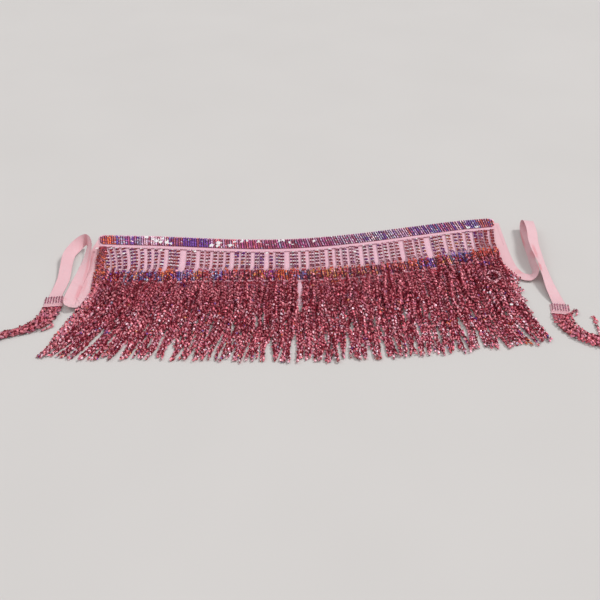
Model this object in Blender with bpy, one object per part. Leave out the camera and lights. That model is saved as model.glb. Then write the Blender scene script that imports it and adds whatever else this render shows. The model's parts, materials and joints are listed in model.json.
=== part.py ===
"""Belly dance hip belt, laid flat and face up on a surface.

A strip of pink cloth carries two rows of sequin trim, each with its own
fringe, and a ribbon tie at either end that finishes in a small tassel.
Metres, +Z up. X runs along the belt, the fringe hangs towards -Y.
"""
import math
import random

import bmesh
import bpy
from mathutils import Vector

MM = 0.001

# ---------------------------------------------------------------- driving sizes (mm)
SEAM = 0.35               # gap kept between two pieces sewn together
CLOTH = 1.5               # wall of the base cloth, hems included
TRIM_THICK = 3.0          # bed of sequins on a trim
TRIM_DROP = 34.0          # height of a trim, top edge to bottom edge
TAPE_DROP = 9.0           # woven tape below the upper trim, the fringe's backing
LOWER_TAPE_DROP = 5.0     # the same below the lower trim
RIBBON_WIDE = 25.0
RIBBON_THICK = 1.0
RIBBON_SECTIONS = 66      # along each tie
NEARBY = 0.002            # share of a tie over which its direction is taken
STRAND_WIDE = 5.6
STRAND_THICK = 2.8
STRANDS = 102             # in each of the two fringes
TIE_STRANDS = 8           # in each of the two tassels
BASE_LEFT = -417.0        # ends of the base cloth, beside the ribbons
BASE_RIGHT = 423.6
BASE_BELOW = 112.0        # how far the base cloth runs on below the lower trim's top edge
BASE_CORNER = 60.0        # how far in the rounded lower corners reach
CENTRE_X = 10.1           # middle of the whole part, which becomes the origin
CENTRE_Y = 53.4

# The belt's two rows of trim, left to right: the top edge of each (mm).
ROWS = ("upper_x", "upper_y", "lower_x", "lower_y")
BELT = (
    (-441.0, 221.0, -409.0, 84.0),
    (-300.0, 215.0, -288.0, 88.0),
    (-130.0, 204.0, -122.0, 93.0),
    (0.0, 207.0, 5.0, 94.0),
    (130.0, 227.0, 133.0, 107.0),
    (260.0, 256.0, 262.0, 132.0),
    (360.0, 278.0, 361.0, 157.0),
    (437.0, 289.0, 428.0, 175.0),
)

# How each fringe spreads, left to right: sideways shift of a strand halfway
# down and at its tip, and where its tip lies (mm).
SPREAD = ("middle_shift", "tip_shift", "tip_y")
UPPER_SPREAD = (
    (27.0, -36.0, -106.0),
    (4.0, -30.0, -113.0),
    (0.0, -14.0, -110.0),
    (2.0, -3.0, -111.0),
    (2.0, 6.0, -106.0),
    (3.0, 12.0, -88.0),
    (0.0, 22.0, -70.0),
    (-3.0, 34.0, -40.0),
)
LOWER_SPREAD = (
    (-22.0, -82.0, -165.0),
    (-12.0, -44.0, -172.0),
    (-4.0, -20.0, -176.0),
    (0.0, -5.0, -178.0),
    (1.0, 5.0, -172.0),
    (4.0, 14.0, -156.0),
    (4.0, 24.0, -141.0),
    (4.0, 40.0, -122.0),
)

# Routes of the two ties, belt end to tassel: middle of the ribbon, then which way
# one of its edges lies from the other: turn about Z from +X, and tilt upwards (degrees).
ROUTE = ("x", "y", "z", "turn", "tilt")
RIGHT_TIE = (
    (436.5, 276.0, 0.5, 0.0, 0.0),
    (436.5, 200.0, 0.5, 0.0, 0.0),
    (437.5, 150.0, 0.5, 0.0, 0.0),
    (441.0, 112.0, 0.9, 12.0, -2.0),
    (449.5, 85.0, 2.8, 38.0, -10.0),
    (461.0, 68.5, 4.8, 66.0, -18.0),
    (473.5, 65.0, 7.2, 98.0, -32.0),
    (482.0, 74.5, 11.0, 140.0, -58.0),
    (485.0, 92.0, 12.6, 172.0, -80.0),
    (487.0, 118.0, 12.4, 180.0, -76.0),
    (491.0, 152.0, 11.6, 180.0, -64.0),
    (494.5, 190.0, 10.6, 180.0, -46.0),
    (498.0, 225.0, 10.4, 180.0, -28.0),
    (501.0, 246.0, 12.4, 180.0, -12.0),
    (503.0, 254.5, 17.5, 180.0, 0.0),
    (504.5, 251.0, 23.5, 180.0, 8.0),
    (505.0, 238.0, 26.0, 180.0, 14.0),
    (503.0, 205.0, 26.8, 180.0, 18.0),
    (497.0, 165.0, 27.0, 180.0, 20.0),
    (496.0, 125.0, 24.6, 180.0, 30.0),
    (498.5, 92.0, 18.4, 182.0, 42.0),
    (499.5, 60.0, 13.4, 186.0, 36.0),
    (502.0, 25.0, 8.4, 184.0, 22.0),
    (508.0, -7.0, 3.0, 176.0, 4.0),
    (509.5, -16.5, 2.4, 172.0, 0.0),
)
LEFT_TIE = (
    (-430.0, 214.0, 0.5, 0.0, 0.0),
    (-437.0, 165.0, 0.5, 0.0, 0.0),
    (-436.5, 120.0, 0.5, 0.0, 0.0),
    (-433.5, 75.0, 0.6, 0.0, 1.0),
    (-431.5, 32.0, 0.6, -4.0, 0.0),
    (-432.0, 3.0, 0.8, -20.0, 3.0),
    (-436.5, -19.0, 3.0, -56.0, 14.0),
    (-445.5, -27.0, 6.5, -100.0, 30.0),
    (-453.5, -17.0, 6.5, -150.0, 28.0),
    (-455.5, 12.0, 3.6, -176.0, 12.0),
    (-453.5, 55.0, 2.0, -186.0, 2.0),
    (-450.0, 100.0, 3.4, -184.0, -6.0),
    (-448.5, 140.0, 7.5, -184.0, -22.0),
    (-450.5, 170.0, 12.0, -180.0, -54.0),
    (-456.0, 187.0, 13.2, -150.0, -74.0),
    (-464.5, 188.0, 13.4, -70.0, -72.0),
    (-475.0, 168.0, 12.6, -20.0, -48.0),
    (-484.0, 138.0, 10.4, -8.0, -26.0),
    (-484.5, 100.0, 8.0, -4.0, -14.0),
    (-483.5, 60.0, 5.0, 0.0, -6.0),
    (-487.0, 18.0, 2.4, 6.0, 0.0),
    (-488.5, 6.5, 2.2, 6.0, 0.0),
)

# Tie tassels, sewn to the ribbons' far ends: how far their strands sweep round
# (degrees from -Y, positive towards +X) and how long they are (mm).
TIE_HEAD_WIDE = 38.0
TIE_HEAD_DROP = 26.0
TIE_TAPE_DROP = 5.0
TIE_STEPS = 5             # straight lengths in a tassel's strand
SWEEP_STEPS = 3           # of which so many are needed to swing all the way round
FAN = 9.0                 # how far a tassel's outer strands spread apart (degrees)
TIES = {
    "right": {"route": RIGHT_TIE, "sweep": 66.0, "reach": 205.0},
    "left": {"route": LEFT_TIE, "sweep": -68.0, "reach": 200.0},
}

random.seed(7)


# ---------------------------------------------------------------- small helpers
def clear_scene():
    for thing in list(bpy.data.objects):
        bpy.data.objects.remove(thing, do_unlink=True)


def material(name, colour, roughness, metallic=0.0):
    made = bpy.data.materials.new(name)
    made.use_nodes = True
    shader = made.node_tree.nodes["Principled BSDF"]
    shader.inputs["Base Color"].default_value = (*colour, 1.0)
    shader.inputs["Roughness"].default_value = roughness
    shader.inputs["Metallic"].default_value = metallic
    made.diffuse_color = (*colour, 1.0)
    return made


def read_off(table, column, at):
    """Value of a table's column at a place from 0 (first row) to 1 (last row)."""
    last = len(table) - 1
    where = min(max(at, 0.0), 1.0) * last
    row = min(int(where), last - 1)
    part = where - row
    before = table[max(row - 1, 0)][column]
    start, end = table[row][column], table[row + 1][column]
    after = table[min(row + 2, last)][column]
    leave, arrive = (end - before) / 2, (after - start) / 2
    square, cube = part * part, part ** 3
    return ((2 * cube - 3 * square + 1) * start + (cube - 2 * square + part) * leave
            + (3 * square - 2 * cube) * end + (cube - square) * arrive)


def named(table, names, at):
    """All columns of a table at one place, by name."""
    return {name: read_off(table, i, at) for i, name in enumerate(names)}


def add_object(name, bm, look):
    """Close the bmesh into a named object, moved so that the part's middle is the origin."""
    bmesh.ops.translate(bm, vec=(-CENTRE_X, -CENTRE_Y, 0.0), verts=bm.verts)
    bmesh.ops.scale(bm, vec=(MM, MM, MM), verts=bm.verts)
    bmesh.ops.recalc_face_normals(bm, faces=bm.faces)
    mesh = bpy.data.meshes.new(name)
    bm.to_mesh(mesh)
    bm.free()
    mesh.materials.append(look)
    made = bpy.data.objects.new(name, mesh)
    bpy.context.collection.objects.link(made)
    return made


def join_sections(bm, sections):
    """A closed body through a row of sections, each a ring of as many points."""
    rings = [[bm.verts.new(point) for point in section] for section in sections]
    sides = len(rings[0])
    bm.faces.new(rings[0])
    bm.faces.new(reversed(rings[-1]))
    for near, far in zip(rings, rings[1:]):
        for i in range(sides):
            j = (i + 1) % sides
            bm.faces.new((near[j], near[i], far[i], far[j]))
    return rings


# ---------------------------------------------------------------- base cloth
def lower_corner(x):
    """How far the cloth's lower edge rises near its two rounded corners."""
    inside = min(x - BASE_LEFT, BASE_RIGHT - x)
    if inside >= BASE_CORNER:
        return 0.0
    along = 1.0 - inside / BASE_CORNER
    return BASE_CORNER * (1.0 - math.sqrt(max(0.0, 1.0 - along * along)))


def trim_top(x, low=False):
    """Top edge of a trim above or below a place x, found along the belt's table."""
    xs, ys = (2, 3) if low else (0, 1)
    near, far = 0.0, 1.0
    for _ in range(24):
        middle = (near + far) / 2
        if read_off(BELT, xs, middle) < x:
            near = middle
        else:
            far = middle
    return read_off(BELT, ys, near)


def base_edge(x):
    """Lower edge of the base cloth at a place x."""
    return trim_top(x, low=True) - BASE_BELOW + lower_corner(x)


def make_base_cloth(look):
    bm = bmesh.new()
    sections = []
    columns = 28
    for i in range(columns + 1):
        swing = (1.0 - math.cos(math.pi * i / columns)) / 2
        x = BASE_LEFT + (BASE_RIGHT - BASE_LEFT) * swing
        top, low = trim_top(x) + 1.5, base_edge(x)
        sections.append(((x, low, 0.0), (x, top, 0.0), (x, top, CLOTH), (x, low, CLOTH)))
    join_sections(bm, sections)
    return add_object("base_cloth", bm, look)


# ---------------------------------------------------------------- sequin trims
def trim_point(at, drop, low):
    """A place on the belt: along it (0 to 1) and down from a trim's top edge (mm)."""
    here = named(BELT, ROWS, at)
    x, y = (here["lower_x"], here["lower_y"]) if low else (here["upper_x"], here["upper_y"])
    lean = (here["lower_x"] - here["upper_x"]) / (here["upper_y"] - here["lower_y"])
    return x + lean * drop, y - drop


def make_trim(name, low, look):
    """A band of sequins with softly rounded long edges, lying on the base cloth."""
    bm = bmesh.new()
    floor = CLOTH + SEAM
    profile = ((0.0, 0.0), (0.0, 0.6), (0.15, 1.0), (0.85, 1.0), (1.0, 0.6), (1.0, 0.0))
    sections = []
    columns = 32
    for i in range(columns + 1):
        ring = []
        for down, up in profile:
            x, y = trim_point(i / columns, TRIM_DROP * down, low)
            ring.append((x, y, floor + TRIM_THICK * up))
        sections.append(ring)
    join_sections(bm, sections)
    return add_object(name, bm, look)


# ---------------------------------------------------------------- fringes
def grow_fringe(name, backs, fronts, floor, paths, look):
    """A narrow backing strip with strands grown out of its front edge.

    backs and fronts hold the strip's two edges, two places for each strand:
    its left and its right side. paths holds each strand's further points.
    """
    bm = bmesh.new()
    top = floor + STRAND_THICK
    sections = []
    for back, front in zip(backs, fronts):
        sections.append(((*front, floor), (*back, floor), (*back, top), (*front, top)))
    rings = join_sections(bm, sections)
    bm.normal_update()
    roots = []
    for left, right in zip(rings[0::2], rings[1::2]):
        corners = {left[0], left[3], right[0], right[3]}
        roots.append(next(face for face in left[0].link_faces if set(face.verts) == corners))
    for face, path in zip(roots, paths):
        for place in path:
            face = bmesh.ops.extrude_discrete_faces(bm, faces=[face])["faces"][0]
            bmesh.ops.translate(bm, vec=place - face.calc_center_median(), verts=face.verts)
    return add_object(name, bm, look)


def strand_path(root, tip, middle_shift, heights):
    """Points of a strand below its root: heights gives (share of the drop, height of its middle)."""
    drop = root.y - tip.y
    points = []
    for share, height in heights:
        bow = 4.0 * share * (1.0 - share)
        straight = root.x + (tip.x - root.x) * share
        bent = straight + (middle_shift - (tip.x - root.x) / 2) * bow
        points.append(Vector((bent, root.y - drop * share, height)))
    return points


def make_fringe(name, low, tape, spread, height_at, look):
    """One of the two long fringes, hanging from the tape below its trim."""
    backs, fronts, paths = [], [], []
    floor = CLOTH + SEAM
    half_strand = STRAND_WIDE / 2 / (BELT[-1][0] - BELT[0][0])
    for i in range(STRANDS):
        at = (i + 0.5) / STRANDS
        for side in (-half_strand, half_strand):
            backs.append(trim_point(at + side, TRIM_DROP + SEAM, low))
            fronts.append(trim_point(at + side, TRIM_DROP + tape, low))
        shape = named(spread, SPREAD, at)
        tip_y = shape["tip_y"] + random.uniform(-5.0, 5.0)
        x, y = trim_point(at, TRIM_DROP + tape, low)
        root = Vector((x, y, floor + STRAND_THICK / 2))
        tip = Vector((x + shape["tip_shift"], tip_y, 0.0))
        paths.append(strand_path(root, tip, shape["middle_shift"], height_at(root, tip)))
    return grow_fringe(name, backs, fronts, floor, paths, look)


def upper_heights(root, tip):
    """The upper fringe climbs over the lower trim, then lies on the lower fringe."""
    half = STRAND_THICK / 2
    trim = trim_top(root.x, low=True)
    over = CLOTH + SEAM + TRIM_THICK + SEAM + half
    resting = STRAND_THICK + 3 * SEAM + half
    on_cloth = CLOTH + SEAM + half
    foot = trim - BASE_BELOW
    places = ((trim + 18.0, on_cloth), (trim + 6.0, over), (foot + 14.0, over),
              (foot - 30.0, over), (foot - 60.0, resting), (tip.y, resting))
    return [((root.y - y) / (root.y - tip.y), height) for y, height in places]


def lower_heights(root, tip):
    """The lower fringe lies on the base cloth, then on the table past its edge."""
    half = STRAND_THICK / 2
    on_cloth = CLOTH + SEAM + half
    on_table = SEAM + half
    foot = trim_top(root.x, low=True) - BASE_BELOW
    places = ((foot - 5.0, on_cloth), (foot - 22.0, on_table), (foot - 60.0, on_table), (tip.y, on_table))
    return [((root.y - y) / (root.y - tip.y), height) for y, height in places]


# ---------------------------------------------------------------- ribbon ties
def ribbon_middle(route, at):
    here = named(route, ROUTE, min(max(at, 0.0), 1.0))
    return Vector((here["x"], here["y"], here["z"]))


def route_frames(route):
    """Middle, edge-to-edge direction and face direction at even places along a ribbon."""
    frames = []
    for i in range(RIBBON_SECTIONS + 1):
        at = i / RIBBON_SECTIONS
        here = named(route, ROUTE, at)
        turn, tilt = math.radians(here["turn"]), math.radians(here["tilt"])
        wide = Vector((math.cos(tilt) * math.cos(turn), math.cos(tilt) * math.sin(turn), math.sin(tilt)))
        run = ribbon_middle(route, at + NEARBY) - ribbon_middle(route, at - NEARBY)
        run = (run - wide * run.dot(wide)).normalized()
        face = run.cross(wide)
        middle = ribbon_middle(route, at)
        lowest = abs(wide.z) * RIBBON_WIDE / 2 + abs(face.z) * RIBBON_THICK / 2
        middle.z = max(middle.z, lowest)
        frames.append((middle, wide, face))
    return frames


def make_ribbon(name, route, look):
    bm = bmesh.new()
    sections = []
    for here, wide, face in route_frames(route):
        across, through = wide * RIBBON_WIDE / 2, face * RIBBON_THICK / 2
        sections.append((here - across - through, here + across - through,
                         here + across + through, here - across + through))
    join_sections(bm, sections)
    return add_object(name, bm, look)


# ---------------------------------------------------------------- tassels on the ties
def head_angle(tie):
    """Which way a tassel's head points: square to its ribbon's end."""
    turn = tie["route"][-1][3]
    return turn - 180.0 if turn > 90.0 else turn


def below_ribbon(tie, across, down):
    """A place given across and down from the end of a tie's ribbon."""
    x, y = tie["route"][-1][:2]
    angle = math.radians(head_angle(tie))
    return (x + across * math.cos(angle) + down * math.sin(angle),
            y + across * math.sin(angle) - down * math.cos(angle))


def make_tie_head(name, tie, look):
    """The short sequin trim sewn round the ribbon's end."""
    bm = bmesh.new()
    half = TIE_HEAD_WIDE / 2
    profile = ((0.0, 0.0), (0.0, 0.7), (0.12, 1.0), (0.88, 1.0), (1.0, 0.7), (1.0, 0.0))
    height = CLOTH + TRIM_THICK
    sections = []
    for across in (-half, -half / 2, 0.0, half / 2, half):
        ring = []
        for down, up in profile:
            ring.append((*below_ribbon(tie, across, SEAM + TIE_HEAD_DROP * down), height * up))
        sections.append(ring)
    join_sections(bm, sections)
    return add_object(name, bm, look)


def make_tie_fringe(name, tie, look):
    """The tassel: a tape below the head and strands that sweep away from the belt."""
    backs, fronts, paths = [], [], []
    floor = SEAM
    points = head_angle(tie)
    pitch = TIE_HEAD_WIDE / TIE_STRANDS
    wide = pitch - 3 * SEAM
    top_of_tape = TIE_HEAD_DROP + 2 * SEAM
    for i in range(TIE_STRANDS):
        across = (i + 0.5) * pitch - TIE_HEAD_WIDE / 2
        for side in (-0.5, 0.5):
            place = across + side * wide
            backs.append(below_ribbon(tie, place, top_of_tape))
            fronts.append(below_ribbon(tie, place, top_of_tape + TIE_TAPE_DROP))
        share = i / (TIE_STRANDS - 1) - 0.5
        here = Vector((*below_ribbon(tie, across, top_of_tape + TIE_TAPE_DROP), floor + STRAND_THICK / 2))
        length = tie["reach"] * random.uniform(0.94, 1.03)
        path = []
        for step in range(TIE_STEPS):
            way = points + (tie["sweep"] - points) * min(1.0, (step + 1) / SWEEP_STEPS) + FAN * share
            turn = math.radians(way)
            here = here + Vector((math.sin(turn), -math.cos(turn), 0.0)) * length / TIE_STEPS
            path.append(here.copy())
        paths.append(path)
    return grow_fringe(name, backs, fronts, floor, paths, look)


# ---------------------------------------------------------------- the whole belt
def build():
    clear_scene()
    cloth = material("pink_cloth", (0.80, 0.46, 0.50), 0.75)
    satin = material("pink_ribbon", (0.83, 0.52, 0.56), 0.55)
    trim = material("sequin_trim", (0.42, 0.12, 0.20), 0.3, 0.3)
    strands = material("sequin_strands", (0.36, 0.07, 0.11), 0.35, 0.2)
    make_base_cloth(cloth)
    make_trim("upper_trim", False, trim)
    make_trim("lower_trim", True, trim)
    make_fringe("upper_fringe", False, TAPE_DROP, UPPER_SPREAD, upper_heights, strands)
    make_fringe("lower_fringe", True, LOWER_TAPE_DROP, LOWER_SPREAD, lower_heights, strands)
    make_ribbon("ribbon_right", RIGHT_TIE, satin)
    make_ribbon("ribbon_left", LEFT_TIE, satin)
    for side, tie in TIES.items():
        make_tie_head("tie_head_" + side, tie, trim)
        make_tie_fringe("tie_fringe_" + side, tie, strands)


build()
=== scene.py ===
# %% [markdown]
# # Belly dance hip belt, laid flat
# The belt is a curved strip of pink cloth. Two rows of sequin trim are sewn along it,
# each with its own long fringe, and a ribbon at either end ties it round the hips.
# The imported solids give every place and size. This lesson dresses them: thousands of
# sequins on threads, woven cloth, ribbons, sewing, and the light they are seen in.

# %% Load the frame
import bisect
import json
import math
import random

import bmesh
import bpy
from mathutils import Matrix, Vector, noise

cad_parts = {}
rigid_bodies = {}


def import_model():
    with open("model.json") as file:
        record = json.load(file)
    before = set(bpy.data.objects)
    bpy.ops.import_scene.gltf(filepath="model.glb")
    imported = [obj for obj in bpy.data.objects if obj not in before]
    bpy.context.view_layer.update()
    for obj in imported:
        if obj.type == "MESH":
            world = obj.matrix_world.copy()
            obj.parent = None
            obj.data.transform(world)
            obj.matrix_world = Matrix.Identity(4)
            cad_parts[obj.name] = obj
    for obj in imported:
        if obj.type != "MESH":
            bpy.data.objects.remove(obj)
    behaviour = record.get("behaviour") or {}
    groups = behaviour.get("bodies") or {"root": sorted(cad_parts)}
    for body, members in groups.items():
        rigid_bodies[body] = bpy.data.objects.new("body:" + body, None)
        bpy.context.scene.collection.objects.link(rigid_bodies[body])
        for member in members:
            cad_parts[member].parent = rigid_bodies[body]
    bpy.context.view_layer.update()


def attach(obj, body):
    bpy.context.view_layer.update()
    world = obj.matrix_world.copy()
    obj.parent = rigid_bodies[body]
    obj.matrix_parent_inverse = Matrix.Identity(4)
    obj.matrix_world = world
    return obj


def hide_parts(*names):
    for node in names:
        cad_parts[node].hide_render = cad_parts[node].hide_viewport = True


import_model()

# %% [markdown]
# ## Sizes
# A maker thinks in millimetres and measures from the belt's own middle, so the script
# does too. Only the last step of each piece, `to_frame`, turns millimetres into metres
# and moves the belt's measuring point to the frame's origin.

# %% Sizes of the belt
MM = 0.001
CENTRE = Vector((10.1, 53.4, 0))
SEAM = 0.35
CLOTH = 1.5
TRIM_DROP = 34
TAPE_DROP = 9
LOWER_TAPE_DROP = 5
BASE_LEFT, BASE_RIGHT = -417, 423.6
BASE_BELOW = 112
BASE_CORNER = 60
RIBBON_WIDE = 25

# The belt's two rows of trim, left to right: the top edge of each.
ROWS = ("upper_x", "upper_y", "lower_x", "lower_y")
BELT = (
    (-441, 221, -409, 84), (-300, 215, -288, 88), (-130, 204, -122, 93), (0, 207, 5, 94),
    (130, 227, 133, 107), (260, 256, 262, 132), (360, 278, 361, 157), (437, 289, 428, 175),
)

BELT_LONG = BELT[-1][0] - BELT[0][0]

# How each fringe spreads, left to right: sideways shift of a strand halfway
# down and at its tip, and where its tip lies.
SPREAD = ("middle_shift", "tip_shift", "tip_y")
UPPER_SPREAD = (
    (27, -36, -106), (4, -30, -113), (0, -14, -110), (2, -3, -111), (2, 6, -106), (3, 12, -88),
    (0, 22, -70), (-8, 22, -46),
)
LOWER_SPREAD = (
    (-24, -90, -167), (-12, -44, -172), (-4, -20, -176), (0, -5, -178), (1, 5, -172), (4, 14, -156),
    (5, 27, -141), (8, 50, -122),
)
print("the cloth is", BASE_RIGHT - BASE_LEFT, "mm wide")

# %% [markdown]
# The tables hold a few measured rows. A smooth curve through them, the Catmull-Rom
# kind that passes through every row, gives the places in between. The rows of the belt
# aren't evenly spaced, so a share of its length is first looked up by halving.

# %% Reading the tables
def within(value):
    """A share, kept between 0 and 1."""
    return min(max(value, 0), 1)


def read_off(table, column, at):
    """Value of a table's column at a place from 0 (first row) to 1 (last row)."""
    last = len(table) - 1
    where = within(at) * last
    row = min(int(where), last - 1)
    part = where - row
    before = table[max(row - 1, 0)][column]
    start, end = table[row][column], table[row + 1][column]
    after = table[min(row + 2, last)][column]
    leave, arrive = (end - before) / 2, (after - start) / 2
    square, cube = part * part, part ** 3
    return ((2 * cube - 3 * square + 1) * start + (cube - 2 * square + part) * leave
            + (3 * square - 2 * cube) * end + (cube - square) * arrive)


def named(table, names, at):
    """All columns of a table at one place, by name."""
    return {name: read_off(table, i, at) for i, name in enumerate(names)}


def soft_step(low, high, value):
    """0 below low, 1 above high, and an even slide between them."""
    part = within((value - low) / (high - low))
    return part * part * (3 - 2 * part)


def trim_point(at, drop, low):
    """A place on the belt: along it (0 to 1) and down from a trim's top edge."""
    here = named(BELT, ROWS, at)
    x, y = (here["lower_x"], here["lower_y"]) if low else (here["upper_x"], here["upper_y"])
    lean = (here["lower_x"] - here["upper_x"]) / (here["upper_y"] - here["lower_y"])
    return x + lean * drop, y - drop


def belt_at(x, column=0):
    """Where along the belt's table, 0 to 1, its trim passes a place x."""
    near, far = 0, 1
    for _ in range(24):
        middle = (near + far) / 2
        if read_off(BELT, column, middle) < x:
            near = middle
        else:
            far = middle
    return near


def even_at(share):
    """The table's place at an even share of the belt's length."""
    return belt_at(BELT[0][0] + share * BELT_LONG)


def trim_top(x, low=False):
    """Top edge of a trim above or below a place x."""
    return read_off(BELT, 3 if low else 1, belt_at(x, 2 if low else 0))


def rounding(inside, radius):
    """How much a rounded corner takes off, at a distance inside the edge."""
    along = 1 - within(inside / radius)
    return radius * (1 - math.sqrt(1 - along * along))


print("the belt is", BELT_LONG, "mm long along its upper trim")

# %% [markdown]
# ## The camera
# The belt lies on a table and is seen from in front and above, about forty degrees
# down. The lens is a mild telephoto, so the two ends of the belt stay in proportion.

# %% Camera
VIEW_DOWN = 39
CAMERA_BACK = 1258
CAMERA_UP = 975.4
LENS = 46.8


def show(name, data):
    """An object made of some data and put in the scene."""
    thing = bpy.data.objects.new(name, data)
    bpy.context.scene.collection.objects.link(thing)
    return thing


def pointing(turn, lift):
    """A direction: how far it is turned from X, and lifted from the table (degrees)."""
    turn, lift = math.radians(turn), math.radians(lift)
    return Vector((math.cos(lift) * math.cos(turn), math.cos(lift) * math.sin(turn), math.sin(lift)))


camera_data = bpy.data.cameras.new("camera")
camera_data.lens = LENS
camera_data.sensor_width = 36
camera = show("camera", camera_data)
camera.location = Vector((-CENTRE.x, -CAMERA_BACK, CAMERA_UP)) * MM
camera.rotation_euler = (math.radians(90 - VIEW_DOWN), 0, 0)
bpy.context.scene.camera = camera
bpy.context.scene.view_settings.view_transform = "Standard"
print("camera", [round(value, 3) for value in camera.location])

# %% [markdown]
# ## Shader maths as expressions
# A weave or a fleck is a formula over the surface. Wrapping a node's socket in a small
# class lets the formula be written as Python, and each operator adds its Math node.

# %% Shader helper
def math_node(operation):
    """A method that adds one Math node of a kind."""
    return lambda self, other=0: self.node("ShaderNodeMath", {"operation": operation}, {0: self, 1: other})


class Wire:
    """One socket of a material's node tree, with arithmetic that adds nodes."""

    def __init__(self, tree, socket=None):
        self.tree = tree
        self.socket = socket

    def node(self, kind, settings=None, sockets=None, out=0):
        """Any node: its settings first, then the values or links of its sockets."""
        made = self.tree.nodes.new(kind)
        for name, value in (settings or {}).items():
            setattr(made, name, value)
        for name, value in (sockets or {}).items():
            if isinstance(value, Wire):
                self.tree.links.new(value.socket, made.inputs[name])
            else:
                made.inputs[name].default_value = value
        return Wire(self.tree, made.outputs[out])

    __add__ = __radd__ = math_node("ADD")
    __sub__ = math_node("SUBTRACT")
    __mul__ = __rmul__ = math_node("MULTIPLY")
    __pow__ = math_node("POWER")
    sine = math_node("SINE")
    size = math_node("ABSOLUTE")
    below = math_node("LESS_THAN")

    def __rsub__(self, other):
        return self.node("ShaderNodeMath", {"operation": "SUBTRACT"}, {0: other, 1: self})

    def mix(self, start, end, share=None):
        """A colour between two colours, by this value or by a fixed share."""
        share = self if share is None else share
        return self.node("ShaderNodeMix", {"data_type": "RGBA"}, {0: share, 6: start, 7: end}, out=2)


print("shader helper ready")

# %% [markdown]
# Colours are given as they are picked on a screen, while Blender works in amounts of
# light, so `colour` converts them. The finishes share a few patterns: noise, bumps and
# the piece's own surface coordinates.

# %% Colours and patterns
def colour(red, green, blue):
    """A colour as it is picked on screen (0 to 255), as the light that Blender works in."""
    def light(value):
        share = value / 255
        return share / 12.92 if share <= 0.04045 else ((share + 0.055) / 1.055) ** 2.4
    return light(red), light(green), light(blue), 1


def new_material(name, fixed, build):
    """A Principled material: fixed socket values, then the sockets that build() links."""
    made = bpy.data.materials.new(name)
    made.use_nodes = True
    shader = made.node_tree.nodes["Principled BSDF"]
    for socket, value in fixed.items():
        shader.inputs[socket].default_value = value
    for socket, wire in build(Wire(made.node_tree)).items():
        made.node_tree.links.new(wire.socket, shader.inputs[socket])
    made.diffuse_color = shader.inputs["Base Color"].default_value
    return made


def bump(tree, height, strength, depth):
    """A Bump node's normal from a height pattern; depth in metres."""
    return tree.node("ShaderNodeBump", {}, {"Strength": strength, "Distance": depth, "Height": height})


def uv_mm(tree):
    """The piece's own surface coordinates, laid out in millimetres: across, then along."""
    place = tree.node("ShaderNodeTexCoord", out=2)
    parts = tree.node("ShaderNodeSeparateXYZ", {}, {0: place})
    return parts, Wire(tree.tree, parts.socket.node.outputs[1])


def speckle(tree, scale, detail=2):
    """Noise over the object's own coordinates; scale is its grain in cells per metre."""
    place = tree.node("ShaderNodeTexCoord", out=3)
    return tree.node("ShaderNodeTexNoise", {}, {"Vector": place, "Scale": scale, "Detail": detail})


def carried(tree, name, out=0):
    """An attribute that the mesh carries: its colour, or with out=2 its number."""
    return tree.node("ShaderNodeAttribute", {"attribute_name": name}, out=out)


print("mid grey on a screen is", round(colour(128, 128, 128)[0], 3), "of full light")

# %% [markdown]
# ## Finishes
# A sequin is a punched disc of plastic film. Its front is a bright iridescent rose, flecked pale as painted
# sparkle, and its back a deep wine that is partly its own colour and partly painted shade, so a twisted
# string of them flickers light and dark. Every sequin carries its own colour in the attribute `tint`, which
# both finishes read.

# %% Sequin finishes
def sequin_front(tree):
    tint = carried(tree, "tint")
    grain = speckle(tree, 420)
    # Pale flecks over the front are painted sparkle, a painted highlight.
    pale = tree.mix(tint, colour(238, 186, 196), share=0.35)
    return {"Base Color": (grain ** 3 * 1.6).mix(tint, pale), "Roughness": grain * 0.3 + 0.24}


def sequin_back(tree):
    tint = carried(tree, "tint")
    grain = speckle(tree, 300)
    # The back's dark wine is partly its own colour and partly painted shade.
    deep = (grain * 0.5 + 0.12).mix(tint, colour(130, 30, 46))
    return {"Base Color": deep, "Roughness": grain * 0.3 + 0.25}


FILM = {"Metallic": 0.2, "Specular IOR Level": 0.25, "Coat Weight": 0.06, "Coat Roughness": 0.12}
face_finish = new_material("sequin_front", FILM, sequin_front)
back_finish = new_material("sequin_back", {"Metallic": 0.1, "Specular IOR Level": 0.12}, sequin_back)
print("sequin finishes:", face_finish.name, back_finish.name)

# %% [markdown]
# The cloth is a plain weave: over-and-under yarns half a millimetre apart, drawn as the
# product of two waves in the surface's own coordinates, with a soft nap (sheen) on top.
# The ribbon is a grosgrain, so its ribs run straight across, with a denser selvedge.
# Where the ribbon folds, lies double or turns over, its mesh carries a number for it, and the pink is painted
# salmon there: painted shade in its folds.

# %% Cloth and ribbon finishes
PINK_CLOTH = colour(241, 193, 207)
PINK_SHADE = colour(240, 178, 196)
PINK_RIBBON = colour(236, 190, 196)
RIBBON_SHADE = colour(228, 166, 175)
RIBBON_FOLD_SHADE = colour(226, 128, 138)
# How closely the yarns, the ribs and the twill follow each other, in radians of a wave per millimetre.
YARNS, RIBS, TWILL = 6, 5.2, 4
SELVEDGE = 1.2


def woven(tree):
    across, along = uv_mm(tree)
    weave = (across * YARNS).sine() * (along * YARNS).sine()
    mottle = speckle(tree, 60, 4)
    tone = mottle * 0.7 + weave * 0.15
    return {"Base Color": tone.mix(PINK_CLOTH, PINK_SHADE), "Roughness": mottle * 0.2 + 0.62,
            "Normal": bump(tree, weave, 0.35, 0.0003)}


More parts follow.
